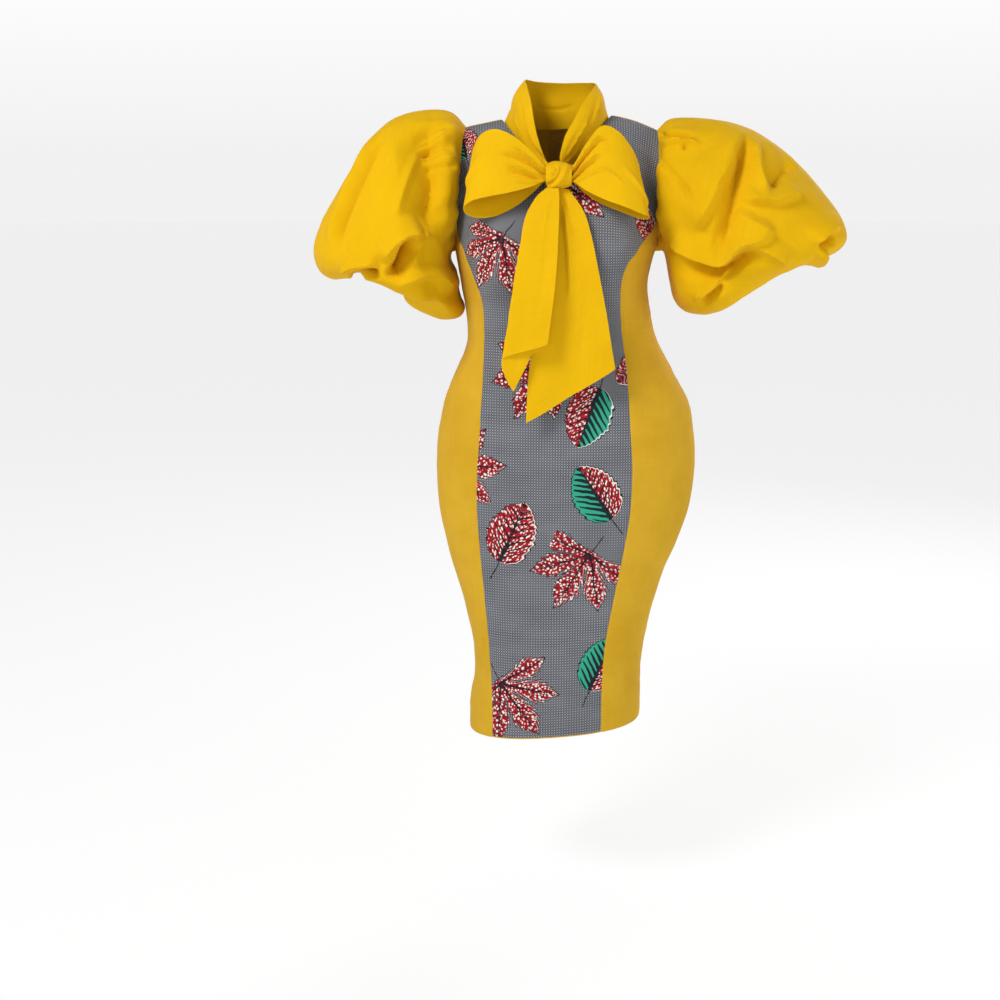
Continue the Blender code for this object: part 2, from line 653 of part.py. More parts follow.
def front_side_panel(name):
    """A plain side panel from the princess seam to the side seam, ending in a point at the armhole."""
    heights = height_rows(HEM_Z, PRINCESS_TOP_RISE[name] - SIDE_PANEL_END, FRONT_ROWS)
    gap = SEAM_GAP / 2

    def seam(height):
        return princess(height, name), seam_gap(height)

    def side_edge(height):
        return (-1 if name == "right" else 1), gap if height < 1 + WELD else 0

    edges = (side_edge, seam) if name == "right" else (seam, side_edge)
    patch = panel_patch(SIDE_COLUMNS, heights, 1, *edges)
    cloth_wall(f"front_side_{name}", [patch], PANEL_CLOTH, "yellow_cloth")


def back_panel(name):
    """Half of the plain back, from the side seam and armhole to the centre back seam and the neck."""
    heights = height_rows(HEM_Z, SHOULDER_RISE_END, BACK_ROWS)
    gap = SEAM_GAP / 2
    end_x = NECK_RIGHT_X if name == "right" else NECK_LEFT_X
    neck_rise = rise_below_shoulder(NECK_BACK_DROP)

    def inner(height):
        if height - 1 <= neck_rise:
            return centre_back(height), gap
        return neck_back(height - 1, end_x), 0

    def side_edge(height):
        return (-1 if name == "right" else 1), gap if height < 1 + WELD else 0

    edges = (side_edge, inner) if name == "right" else (inner, side_edge)
    margins = (0, ZIP_TAPE_WIDTH / 2) if name == "right" else (ZIP_TAPE_WIDTH / 2, 0)
    patch = panel_patch(BACK_COLUMNS, heights, -1, *edges, margins)
    cloth_wall(f"back_{name}", [patch], PANEL_CLOTH, "yellow_cloth")


# ---- Sleeves ----
def armhole_point(turn, name):
    """The armhole's edge; turn runs from 0 at the shoulder tip through 180 at the underarm, front first."""
    side = 1 if turn <= 180 else -1
    rise = 1 - turn / 180 if side > 0 else turn / 180 - 1
    end = -1 if name == "right" else 1
    point = body_point(end, 1 + rise, side)
    return point + Vector((end * ARMHOLE_GAP, 0, 0))


def ring_point(ring, turn):
    outer = Vector((ring.outer_x, 0, ring.outer_z))
    inner = Vector((ring.inner_x, 0, ring.inner_z))
    angle = math.radians(turn)
    flat = (outer + inner) / 2 + (outer - inner) / 2 * math.cos(angle)
    middle = math.sin(angle) ** 2
    return flat + Vector((ring.sway * middle, -ring.depth * math.sin(angle), ring.lift * middle))


def sleeve_form(turn, along, name):
    """The sleeve with no folds; along counts rings, 0 at the armhole."""
    points = [armhole_point(turn % 360, name)]
    points += [ring_point(ring, turn) for ring in SLEEVES[name]]
    return curve_through(points, along)


def fold_height(turn, along, name):
    """How far the folds and the armhole's gathers lift the cloth there."""
    lift = 0
    if along < GATHER_RINGS:
        fade = math.sin(math.pi * (along / GATHER_RINGS) ** GATHER_START)
        lift = GATHER_DEPTH * fade * math.cos(math.radians(turn) * GATHERS)
    for fold in SLEEVE_FOLDS[name]:
        share = (along - fold.ring_start) / (fold.ring_end - fold.ring_start)
        if not 0 < share < 1:
            continue
        middle = mix(fold.turn_start, fold.turn_end, share)
        off = (turn - middle + 180) % 360 - 180
        lift += fold.depth * math.sin(math.pi * share) ** FOLD_FULLNESS * math.exp(-((off / fold.width) ** 2))
    return lift


def cuff_axes(name):
    """Unit directions across the cuff, and square to it towards the shoulder."""
    last = SLEEVES[name][-1]
    across = Vector((last.outer_x - last.inner_x, 0, last.outer_z - last.inner_z)).normalized()
    up = Vector((0, 1, 0)).cross(across)
    return across, up if up.z > 0 else -up


def sleeve(name):
    """The balloon sleeve, gathered into the armhole and into the band; its end walls lie flat."""
    rings = len(SLEEVES[name])
    outward = -1 if name == "right" else 1

    def form(a, b):
        return sleeve_form(a * 360, b * rings, name)

    flat = surface_place(form, outward)

    def folded(a, b):
        point, normal = flat(a, b)
        return point + normal * fold_height(a * 360, b * rings, name)

    bent = surface_place(folded, outward)

    armhole_line = armhole_point(0, name) - armhole_point(180, name)
    ends = {0: armhole_line.cross((0, 1, 0)).normalized(), 1: cuff_axes(name)[1]}

    def place(a, b):
        point, normal = bent(0 if a > 1 - WELD else a, b)
        for end, square in ends.items():
            if abs(b - end) < WELD:
                normal = (normal - square * normal.dot(square)).normalized()
        return point, normal

    patch = (SLEEVE_AROUND, rings + 1, place)
    cloth_wall(f"sleeve_{name}", [patch], PANEL_CLOTH, "yellow_cloth")


def sleeve_band(name):
    """The band that gathers the sleeve round the upper arm, inside the balloon."""
    up = cuff_axes(name)[1]
    outward = 1 if name == "right" else -1

    def form(a, b):
        rise = mix(SEAM_GAP, SLEEVE_BAND_HEIGHT, b)
        return ring_point(SLEEVES[name][-1], a * 360) + up * rise

    flat = surface_place(form, -outward)
    patch = (BAND_AROUND, 1, lambda a, b: flat(0 if a > 1 - WELD else a, b))
    cloth_wall(f"sleeve_band_{name}", [patch], PANEL_CLOTH, "yellow_cloth")


# ---- Collar and bow ----
def neckline(along):
    """The neck edge from near the foot of the V, up the wearer's right, round the back and down the left."""
    if along <= NECK_RIGHT_ALONG:
        rise = mix(COLLAR_RISE, 1, (along / NECK_RIGHT_ALONG) ** NECK_STEEPNESS)
        return body_point(neck_v(rise, NECK_RIGHT_X), 1 + rise, 1)
    if along >= NECK_LEFT_ALONG:
        rise = mix(COLLAR_RISE, 1, ((1 - along) / (1 - NECK_LEFT_ALONG)) ** NECK_STEEPNESS)
        return body_point(neck_v(rise, NECK_LEFT_X), 1 + rise, 1)
    sweep = (along - NECK_RIGHT_ALONG) / (NECK_LEFT_ALONG - NECK_RIGHT_ALONG) * math.pi
    drop = NECK_BACK_DROP * math.sin(sweep)
    rise = rise_below_shoulder(drop)
    x = mix(NECK_RIGHT_X, NECK_LEFT_X, (1 - math.cos(sweep)) / 2)
    return body_point(across_at(x, 1 + rise, -1), 1 + rise, -1)


def collar_tie():
    """The tie band round the neck: its sewn edge stands just inside the neckline, its free edge is high."""

    def form(a, b):
        edge = neckline(a)
        middle = Vector(((NECK_RIGHT_X + NECK_LEFT_X) / 2, 0, edge.z))
        foot = edge + (middle - edge).normalized() * COLLAR_INSET + Vector((0, 0, -COLLAR_OVERLAP))
        row = trace(COLLAR, a)
        free = Vector((row.x, row.y, row.z))
        end = TUCKS[round(a)]
        tucked = max(1 - min(a, 1 - a) / TUCK_LENGTH, 0)
        foot = foot.lerp(Vector((end.x, end.foot_y, end.foot_z)), tucked)
        free = free.lerp(Vector((end.x, end.free_y, end.free_z)), tucked)
        swell = (foot - middle).normalized() * row.bulge * math.sin(math.pi * b**2)
        return foot.lerp(free, b) + swell

    patch = (COLLAR_COLUMNS, COLLAR_ROWS, surface_place(form, -1))
    cloth_wall("collar_tie", [patch], TIE_CLOTH, "yellow_cloth")


def bow_loop(name):
    """One loop of the bow: a strip that leaves the knot, turns over and comes back behind itself."""
    rows = LOOPS[name]
    tops = [Vector((row.top_x, row.top_y, row.top_z)) for row in rows]
    bottoms = [Vector((row.bottom_x, row.bottom_y, row.bottom_z)) for row in rows]

    def form(a, b):
        at = a * (len(rows) - 1)
        top, bottom = curve_through(tops, at), curve_through(bottoms, at)
        return top.lerp(bottom, b)

    outward = 1 if name == "right" else -1
    patch = (len(rows) + 1, LOOP_ROWS, surface_place(form, outward))
    cloth_wall(f"bow_loop_{name}", [patch], TIE_CLOTH, "yellow_cloth")


def bow_knot():
    hoops = [Vector(h) for h in KNOT]

    def form(a, b):
        x, half_y, half_z = curve_through(hoops, b * (len(hoops) - 1))
        turn = a * 2 * math.pi
        return Vector((x, KNOT_Y - half_y * math.sin(turn), KNOT_Z + half_z * math.cos(turn)))

    flat = surface_place(form, 1)
    patch = (KNOT_AROUND, len(KNOT) - 1, lambda a, b: flat(0 if a > 1 - WELD else a, b))
    cloth_wall("bow_knot", [patch], TIE_CLOTH, "yellow_cloth")


def hanging_row(rows, z):
    """A tail's row at a height; tables run downwards, so the lookup is on depth below the knot."""
    table = [TailRow(-r.z, r.right, r.left, r.y) for r in rows]
    return trace(table, -z)


def bow_tail_over():
    """The shorter tail, in front: folded lengthwise, its point showing below the front half."""

    def form(a, b):
        z = mix(TAIL_OVER[0].z, trace(TAIL_OVER_END, a).z, b)
        row = hanging_row(TAIL_OVER, z)
        x = (row.left + row.right) / 2 + (row.left - row.right) / 2 * math.cos(2 * math.pi * a)
        opened = math.sqrt(min(b / TAIL_PINCH, 1))
        half = mix(TAIL_FOLD_TOP, TAIL_FOLD_HALF, opened)
        return Vector((x, row.y - half * math.cos(math.pi * a), z))

    patch = (TAIL_OVER_COLUMNS, TAIL_ROWS, surface_place(form, 1))
    cloth_wall("bow_tail_right", [patch], PANEL_CLOTH, "yellow_cloth")


def bow_tail_under():
    """The longer tail, behind: a flat strip widening to its slanted end, with one soft fold."""

    def form(a, b):
        z = mix(TAIL_UNDER[0].z, trace(TAIL_UNDER_END, a).z, b)
        row = hanging_row(TAIL_UNDER, z)
        ripple = TAIL_RIPPLE * b * math.cos(2 * math.pi * (a * TAIL_RIPPLES - TAIL_RIPPLE_SHIFT))
        return Vector((mix(row.right, row.left, a), row.y - ripple, z))

    patch = (TAIL_UNDER_COLUMNS, TAIL_ROWS, surface_place(form, -1))
    cloth_wall("bow_tail_left", [patch], PANEL_CLOTH, "yellow_cloth")


# ---- The zip in the centre back seam ----
def zip_tape():
    """The tape behind the seam, made from the back panels' points moved inwards."""
    heights = height_rows(ZIP_BOTTOM_Z, ZIP_TOP_RISE, BACK_ROWS)
    inset = PANEL_CLOTH + SEAM_GAP

    def place(a, b):
        height = row_height(heights, b)
        across = stepped(centre_back(height), height, -1, (a - 0.5) * ZIP_TAPE_WIDTH)
        normal = body_normal(across, height, -1)
        return body_point(across, height, -1) - normal * inset, normal

    cloth_wall("zip_tape", [(2, len(heights) - 1, place)], ZIP_TAPE_CLOTH, "zip_tape")


def seam_frame(rise):
    """A place on the centre back seam with the directions across, outwards and down the cloth."""
    height = 1 + rise
    across = centre_back(height)
    outwards = body_normal(across, height, -1)
    sideways = (Vector((1, 0, 0)) - outwards * outwards.x).normalized()
    down = outwards.cross(sideways)
    return body_point(across, height, -1), sideways, outwards, down


def box_between(bm, low, high):
    """A box from corner to corner."""
    made = bmesh.ops.create_cube(bm, size=1)
    size = Vector(high) - Vector(low)
    middle = (Vector(high) + Vector(low)) / 2
    bmesh.ops.scale(bm, vec=size, verts=made["verts"])
    bmesh.ops.translate(bm, vec=middle, verts=made["verts"])
    return made["verts"]


def cut_with(obj, low, high):
    """Cuts a box out of an object."""
    bm = bmesh.new()
    box_between(bm, low, high)
    cutter = add_object(f"cutter_{obj.name}", bm, "zip_metal")
    cutter.hide_render = True
    cutter.display_type = "WIRE"
    cutter.parent = obj.parent
    modifier = obj.modifiers.new("window", "BOOLEAN")
    modifier.operation = "DIFFERENCE"
    modifier.object = cutter


def zip_slider(seat):
    """The slider, with the bridge that the pull tab hangs on."""
    bm = bmesh.new()
    half = SLIDER_WIDTH / 2
    box_between(bm, (-half, 0, 0), (half, SLIDER_LENGTH, SLIDER_THICK))
    bmesh.ops.bevel(bm, geom=bm.edges[:], offset=SLIDER_BEVEL, segments=1, profile=0.5, affect="EDGES")
    slider = add_object("zip_slider", bm, "zip_metal")
    slider.parent = seat

    bm = bmesh.new()
    half = BRIDGE_WIDTH / 2
    box_between(bm, (-half, BRIDGE_START, SLIDER_THICK - BRIDGE_SINK), (half, BRIDGE_END, BRIDGE_TOP))
    bridge = add_object("bridge_of_slider", bm, "zip_metal")
    bridge.hide_render = True
    bridge.display_type = "WIRE"
    bridge.parent = seat
    join = slider.modifiers.new("bridge", "BOOLEAN")
    join.operation = "UNION"
    join.object = bridge
    start, end, top = BRIDGE_START + BRIDGE_WALL, BRIDGE_END - BRIDGE_WALL, BRIDGE_TOP - BRIDGE_WALL
    cut_with(slider, (-SLIDER_WIDTH, start, SLIDER_THICK), (SLIDER_WIDTH, end, top))


def zip_pull(seat):
    """The pull tab, hung on the slider's bridge by the bar above its window."""
    hinge = bpy.data.objects.new("zip_pull_hinge", None)
    bpy.context.scene.collection.objects.link(hinge)
    hinge.parent = seat
    hinge.location = (0, (BRIDGE_START + BRIDGE_END) / 2, PULL_BAR_HEIGHT)
    hinge.rotation_euler = (-PULL_LEAN, 0, 0)

    bm = bmesh.new()
    half, thick = PULL_WIDTH / 2, PULL_THICK / 2
    box_between(bm, (-half, -thick, -thick), (half, PULL_LENGTH, thick))
    upright = [e for e in bm.edges if abs(e.verts[0].co.z - e.verts[1].co.z) > thick]
    tip = [e for e in upright if e.verts[0].co.y > PULL_LENGTH / 2]
    bmesh.ops.bevel(bm, geom=tip, offset=PULL_TIP_RADIUS, segments=3, profile=0.5, affect="EDGES")
    pull = add_object("zip_pull", bm, "zip_metal")
    pull.parent = hinge
    half = PULL_WINDOW_WIDTH / 2
    cut_with(pull, (-half, thick, -PULL_THICK), (half, thick + PULL_WINDOW_LENGTH, PULL_THICK))


def zip_hardware():
    """The slider and its tab, seated on the back seam just below the neck."""
    point, sideways, outwards, down = seam_frame(ZIP_TOP_RISE - SLIDER_DROP)
    seat = bpy.data.objects.new("zip_seat", None)
    bpy.context.scene.collection.objects.link(seat)
    turn = Matrix((sideways, down, outwards)).transposed()
    seat.matrix_world = Matrix.Translation(point + outwards * SLIDER_SEAT) @ turn.to_4x4()
    zip_slider(seat)
    zip_pull(seat)


def main():
    clear_scene()
    front_centre_panel()
    for name in ("right", "left"):
        front_side_panel(name)
        back_panel(name)
        sleeve(name)
        sleeve_band(name)
        bow_loop(name)
    collar_tie()
    bow_knot()
    bow_tail_over()
    bow_tail_under()
    zip_tape()
    zip_hardware()


main()
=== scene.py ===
"""A worn-form fitted dress: printed front, plain sides and back, balloon sleeves, tie collar and bow.

Run as a script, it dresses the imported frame. Each cloth wall becomes a fine shell with its creases, gathers
and seams, and every piece gets its cloth, thread or metal finish. Metres, +Z up; the front faces -Y, and
right and left are the wearer's, so right is at -X.
"""

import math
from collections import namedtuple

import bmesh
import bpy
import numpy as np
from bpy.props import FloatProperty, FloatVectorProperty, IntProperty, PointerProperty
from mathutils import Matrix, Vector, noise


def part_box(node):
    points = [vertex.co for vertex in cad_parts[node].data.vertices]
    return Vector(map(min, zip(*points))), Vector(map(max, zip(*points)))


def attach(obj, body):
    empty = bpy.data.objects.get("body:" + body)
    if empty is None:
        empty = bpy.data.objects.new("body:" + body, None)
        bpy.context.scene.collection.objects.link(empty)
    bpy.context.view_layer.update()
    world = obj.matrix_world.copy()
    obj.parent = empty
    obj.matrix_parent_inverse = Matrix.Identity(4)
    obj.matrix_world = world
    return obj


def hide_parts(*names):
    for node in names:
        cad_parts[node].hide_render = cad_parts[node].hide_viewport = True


bl_info = {
    "name": "Balloon Sleeve Dress",
    "version": (1, 0, 0),
    "blender": (4, 5, 0),
    "location": "View3D > Sidebar > Dress",
    "description": "Builds the cloth pieces, the zip and the studio of a fitted dress round its frame",
    "category": "Object",
}

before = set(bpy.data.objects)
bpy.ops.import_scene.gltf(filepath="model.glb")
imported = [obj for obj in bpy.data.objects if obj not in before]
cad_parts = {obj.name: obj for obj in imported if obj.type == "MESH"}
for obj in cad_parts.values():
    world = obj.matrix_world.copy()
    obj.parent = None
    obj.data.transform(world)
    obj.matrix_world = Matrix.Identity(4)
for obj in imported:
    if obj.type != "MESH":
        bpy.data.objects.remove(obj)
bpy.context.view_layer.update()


def metres(rows):
    """A table in millimetres, as an array in metres."""
    return np.array(rows) / 1000


# ---- The dress's form, as its frame has it ----
HEM_Z = -1.090
UNDERARM_Z = -0.215
HEM_TILT = 0.087
HEM_TILT_FROM_Z = -0.750
FULLNESS = 0.10
BUST_ANGLE = math.radians(35)
BUST_SPREAD = math.radians(22)
ARMHOLE_DEPTH = 0.055
ARMHOLE_EDGE = 4
NECK_X = {"right": -0.088, "left": 0.100}
NECK_V_X = 0.003
NECK_V_RISE = 0.31
NECK_BACK_DROP = 0.020
NECK_RIGHT_ALONG = 0.36
NECK_LEFT_ALONG = 0.64
NECK_STEEPNESS = 1.25
CHEST_LIFT = 1.6
CHEST_SLOPE = (1.3, 0.92)
UPPER_BACK_SLOPE = (2.2, 0.80)
CENTRE_BACK_LEAN = 3
COLLAR_RISE = 0.42
COLLAR_INSET = 0.0036
COLLAR_OVERLAP = 0.0035
SIDE_PANEL_END = 0.03
SLEEVE_BAND_HEIGHT = 0.025
ZIP_TAPE_WIDTH = 0.024
ZIP_TAPE_CLOTH = 0.0010
ZIP_TOP_RISE = 0.76
ZIP_BOTTOM_Z = -0.545
SLOPE_STEP = 0.02

# The long tables below are in millimetres, which metres() and creases() turn into metres.
# Body sections: z, the side outlines' x, the depths in front and behind, the bust's reach.
BODY = metres([
    (-1090, -148, 169, 116, 112, 0),
    (-1040, -146, 169, 115, 111, 0),
    (-990, -138, 169, 114, 110, 0),
    (-930, -142, 177, 114, 112, 0),
    (-865, -156, 190, 116, 118, 0),
    (-800, -175, 209, 119, 128, 0),
    (-745, -191, 231, 123, 140, 0),
    (-680, -203, 251, 128, 154, 0),
    (-610, -206, 259, 132, 163, 0),
    (-546, -202, 256, 134, 160, 0),
    (-490, -191, 244, 132, 146, 0),
    (-435, -169, 215, 126, 122, 0),
    (-385, -151, 188, 121, 100, 0),
    (-330, -152, 174, 124, 90, 4),
    (-280, -160, 168, 136, 94, 16),
    (-240, -168, 174, 149, 104, 24),
    (-215, -172, 184, 153, 110, 20),
])

# The front's princess seams: z, the right seam's x, the left seam's x.
PRINCESS = metres([
    (-1090, -103, 94),
    (-1000, -105, 95),
    (-926, -110, 99),
    (-834, -117, 114),
    (-760, -124, 127),
    (-668, -130, 140),
    (-598, -129, 142),
    (-545, -125, 139),
    (-474, -121, 134),
    (-405, -118, 128),
    (-352, -117, 120),
    (-301, -121, 117),
    (-267, -134, 119),
    (-237, -145, 128),
    (-215, -152, 142),
])
PRINCESS_TOP_RISE = {"right": 0.31, "left": 0.42}

# The shoulder line: x, z.
SHOULDERS = metres([
    (-150, -12),
    (-88, 0),
    (-40, 6),
    (50, 10),
    (100, 7),
    (142, -2),
    (180, -17),
])

# Sleeve rings from armhole to cuff: outer x and z, inner x and z, half depth, sway, lift.
SLEEVES = {
    "right": metres([
        (-184, 16, -180, -228, 92, 18, 0),
        (-252, 15, -183, -248, 124, 6, 0),
        (-303, -9, -180, -273, 143, 0, 0),
        (-346, -66, -176, -295, 152, 0, 0),
        (-379, -123, -172, -311, 155, 0, 0),
        (-407, -176, -168, -324, 153, 0, 4),
        (-421, -224, -174, -331, 144, 0, 12),
        (-411, -260, -197, -331, 122, 0, 24),
        (-384, -275, -226, -319, 94, 0, 26),
        (-355, -262, -247, -306, 70, 0, 14),
        (-340, -240, -252, -290, 57, 0, 0),
    ]),
    "left": metres([
        (208, 2, 196, -226, 92, -22, 0),
        (275, 1, 202, -246, 124, -6, 0),
        (334, -13, 207, -266, 143, 0, 0),
        (385, -42, 212, -289, 152, 0, 0),
        (427, -78, 218, -309, 155, 0, 0),
        (466, -120, 229, -323, 154, 0, 2),
        (500, -162, 249, -332, 146, 0, 8),
        (513, -201, 276, -332, 126, 0, 16),
        (490, -228, 301, -321, 98, 0, 18),
        (444, -236, 322, -303, 74, 0, 10),
        (408, -220, 332, -280, 58, 0, 0),
    ]),
}

# The tie collar: place along the neckline, its free edge's x, y and z, and how far it bulges.
COLLAR = [
    (0.000, -0.005, -0.118, -0.078, 0.000),
    (0.060, -0.014, -0.118, -0.062, 0.005),
    (0.130, -0.023, -0.114, -0.038, 0.009),
    (0.200, -0.031, -0.104, -0.008, 0.010),
    (0.270, -0.037, -0.080, 0.026, 0.009),
    (0.335, -0.045, -0.040, 0.056, 0.008),
    (0.395, -0.048, 0.000, 0.068, 0.007),
    (0.450, -0.028, 0.036, 0.066, 0.007),
    (0.500, 0.012, 0.050, 0.064, 0.007),
    (0.550, 0.050, 0.038, 0.064, 0.006),
    (0.605, 0.072, 0.002, 0.062, 0.005),
    (0.665, 0.069, -0.040, 0.053, 0.006),
    (0.730, 0.050, -0.080, 0.026, 0.009),
    (0.800, 0.035, -0.104, -0.002, 0.010),
    (0.870, 0.021, -0.114, -0.026, 0.009),
    (0.940, 0.013, -0.118, -0.054, 0.005),
    (1.000, 0.009, -0.118, -0.077, 0.000),
]
# Where the collar's ends tuck in behind the knot: x, then y and z at the foot and at the free edge.
TUCKS = [
    (-0.003, -0.1240, -0.0850, -0.1268, -0.0775),
    (0.015, -0.1240, -0.0850, -0.1268, -0.0775),
]
TUCK_LENGTH = 0.04

# Bow loops, out from the knot in front and back behind: the strip's top edge, then its bottom edge.
LOOPS = {
    "right": metres([
        (-4, -152, -83, -4, -154, -100),
        (-16, -154, -74, -16, -157, -102),
        (-38, -155, -50, -39, -166, -111),
        (-67, -153, -27, -71, -176, -119),
        (-96, -148, -17, -104, -180, -125),
        (-120, -137, -26, -132, -174, -132),
        (-134, -124, -50, -147, -162, -143),
        (-134, -113, -62, -144, -149, -155),
        (-119, -107, -54, -125, -141, -162),
        (-90, -107, -46, -95, -142, -159),
        (-60, -115, -58, -61, -142, -143),
        (-34, -126, -72, -34, -141, -122),
        (-16, -137, -81, -16, -141, -105),
        (-4, -140, -83, -4, -141, -100),
    ]),
    "left": metres([
        (24, -152, -83, 24, -154, -100),
        (36, -154, -72, 36, -157, -103),
        (55, -155, -40, 57, -167, -117),
        (80, -153, -12, 88, -177, -131),
        (107, -146, -20, 122, -180, -143),
        (130, -137, -46, 150, -171, -154),
        (143, -131, -72, 161, -156, -158),
        (142, -122, -82, 158, -144, -164),
        (127, -110, -68, 141, -140, -161),
        (102, -105, -44, 112, -140, -151),
        (75, -110, -50, 80, -140, -138),
        (51, -124, -70, 52, -140, -120),
        (36, -137, -80, 36, -141, -105),
        (24, -140, -83, 24, -141, -100),
    ]),
}

# The knot's hoops: x, half depth, half height.
KNOT_Y = -0.146
KNOT_Z = -0.0915
KNOT = metres([
    (-11.5, 16.6, 16.6),
    (-5, 19.8, 20.8),
    (4, 22, 23.5),
    (13, 22.2, 23.2),
    (22.5, 20.2, 20.6),
    (31.5, 17.4, 17.2),
])

# Hanging ends of the tie: depth below the origin, right and left edge, and y.
TAIL_OVER = metres([
    (112, -10, 10, -160),
    (126, -26, 11, -167),
    (155, -43, 11, -178),
    (215, -55, 9, -190),
    (283, -66, 4, -192),
    (365, -78, -6, -190),
    (400, -84, -8, -188),
    (450, -92, -10, -186),
])
TAIL_UNDER = metres([
    (114.5, 8, 27, -151),
    (150, 2, 52, -162),
    (190, -3, 65, -170),
    (240, -10, 76, -173),
    (320, -22, 92, -171),
    (384, -33, 103, -167),
    (430, -39, 111, -163),
    (510, -43, 118, -158),
])
# The cut of the two ends: places across the strip, and the depth below the origin at each.
TAIL_OVER_END = (
    (0.00, 0.25, 0.50, 0.60, 0.70, 0.80, 1.00),
    (0.364, 0.379, 0.395, 0.418, 0.449, 0.386, 0.368),
)
TAIL_UNDER_END = ((0.00, 0.20, 0.50, 1.00), (0.506, 0.488, 0.458, 0.412))
TAIL_FOLD_HALF = 0.008
TAIL_FOLD_TOP = 0.003
TAIL_PINCH = 0.25
TAIL_RIPPLE = 0.004
TAIL_RIPPLES = 1.25
TAIL_RIPPLE_SHIFT = 0.1

# ---- Folds and creases ----
# The sleeves' long folds: turn round the sleeve at both ends, rings at both ends, width in degrees, depth.
Fold = namedtuple("Fold", "turn_start turn_end ring_start ring_end width depth")
SLEEVE_FOLDS = {
    "right": [
        Fold(120, 150, 2.4, 9.2, 14, -0.014),
        Fold(140, 128, 1.6, 7.8, 13, 0.010),
        Fold(205, 200, 1.4, 8.0, 14, -0.013),
        Fold(245, 262, 0.8, 7.2, 17, 0.011),
        Fold(285, 270, 1.0, 8.2, 15, -0.015),
        Fold(325, 318, 1.2, 7.6, 16, -0.010),
    ],
    "left": [
        Fold(120, 110, 2.0, 8.8, 14, -0.015),
        Fold(150, 142, 1.6, 8.4, 15, 0.010),
        Fold(205, 212, 1.4, 8.2, 14, -0.013),
        Fold(240, 250, 1.0, 7.4, 16, 0.011),
        Fold(278, 268, 1.0, 8.4, 15, -0.014),
        Fold(322, 310, 0.9, 7.8, 16, -0.012),
    ],
}
FOLD_FULLNESS = 0.7

Crease = namedtuple("Crease", "upper_left lower_right height points")


def creases(rows):
    """Creases from rows in millimetres.

    A crease runs through points on a plane, upwards or rightwards. Its row holds its width above or left of
    the line, its width below or right of it, its height, below zero for a trough, and then the points.
    """
    return [Crease(*metres(row[:3]), metres(row[3:])) for row in rows]


SLEEVE_FRONT_CREASES = {
    "right": creases([
        (20, 6, -9, (-367, -221), (-350, -163), (-325, -108), (-283, -12)),
        (12, 18, 7, (-385, -222), (-368, -163), (-343, -108), (-301, -12)),
        (60, 20, -15, (-204, -200), (-199, -150), (-194, -110), (-206, -40), (-214, 6)),
        (12, 12, 4, (-254, -164), (-256, -142), (-242, -96), (-219, -36)),
        (8, 14, 6, (-195, -167), (-185, -117), (-193, -87), (-202, -51)),
        (35, 8, 11, (-287, -239), (-270, -216), (-250, -197), (-209, -183)),
        (10, 24, -22, (-279, -263), (-260, -238), (-248, -216), (-233, -193)),
        (6, 12, 4, (-228, -208), (-216, -196), (-206, -184)),
        (20, 10, 8, (-262, -280), (-240, -266), (-201, -262), (-178, -300)),
        (30, 6, 10, (-361, -254), (-333, -244), (-305, -240), (-287, -238)),
        (10, 12, -14, (-350, -266), (-315, -255), (-288, -254)),
        (12, 6, -3.6, (-236, -36), (-206, -16), (-170, -12)),
        (6, 10, 3, (-226, -46), (-200, -32), (-170, -28)),
        (10, 6, -3.6, (-226, -56), (-196, -44), (-164, -50)),
        (6, 10, 3, (-216, -70), (-190, -60), (-162, -66)),
        (10, 6, -3.4, (-210, -82), (-186, -78), (-160, -80)),
    ]),
    "left": creases([
        (55, 8, 12, (232, -196), (259, -153), (280, -108), (302, -71), (305, -51), (327, -8)),
        (22, 30, -14, (277, -239), (284, -210), (295, -146), (309, -80), (328, -23)),
        (16, 12, 10, (364, -119), (351, -112), (342, -87), (339, -57), (342, -29)),
        (40, 8, -9, (364, -114), (382, -96), (394, -85), (416, -75)),
        (24, 9, 10, (305, -121), (328, -130), (352, -134), (376, -134), (424, -118)),
        (16, 26, 10, (296, -146), (317, -160), (352, -180), (371, -192)),
        (40, 8, 12, (189, -181), (206, -202), (229, -220), (252, -233), (275, -241), (288, -237),
         (304, -217), (317, -205), (371, -192)),
        (12, 22, -14, (215, -224), (240, -242), (270, -256), (295, -247), (320, -224), (352, -215)),
        (30, 7, 9, (317, -203), (333, -209), (352, -216), (376, -228), (400, -243)),
        (18, 8, 8, (245, -299), (268, -280), (284, -262), (300, -250)),
        (10, 10, -8, (255, -303), (275, -289), (292, -280)),
        (30, 6, 10, (435, -208), (448, -198), (459, -189), (473, -182), (492, -182)),
        (10, 14, -14, (452, -214), (466, -202), (482, -196)),
        (20, 8, 8, (443, -258), (454, -246), (462, -231), (460, -210)),
        (6, 8, -6, (176, -26), (206, -26), (240, -30)),
        (10, 6, 6, (182, -44), (210, -36), (250, -42)),
        (5, 6, -5, (216, -30), (222, -40), (220, -50)),
        (6, 10, -4, (237, -142), (221, -115), (202, -92), (184, -69), (182, -53)),
    ]),
}
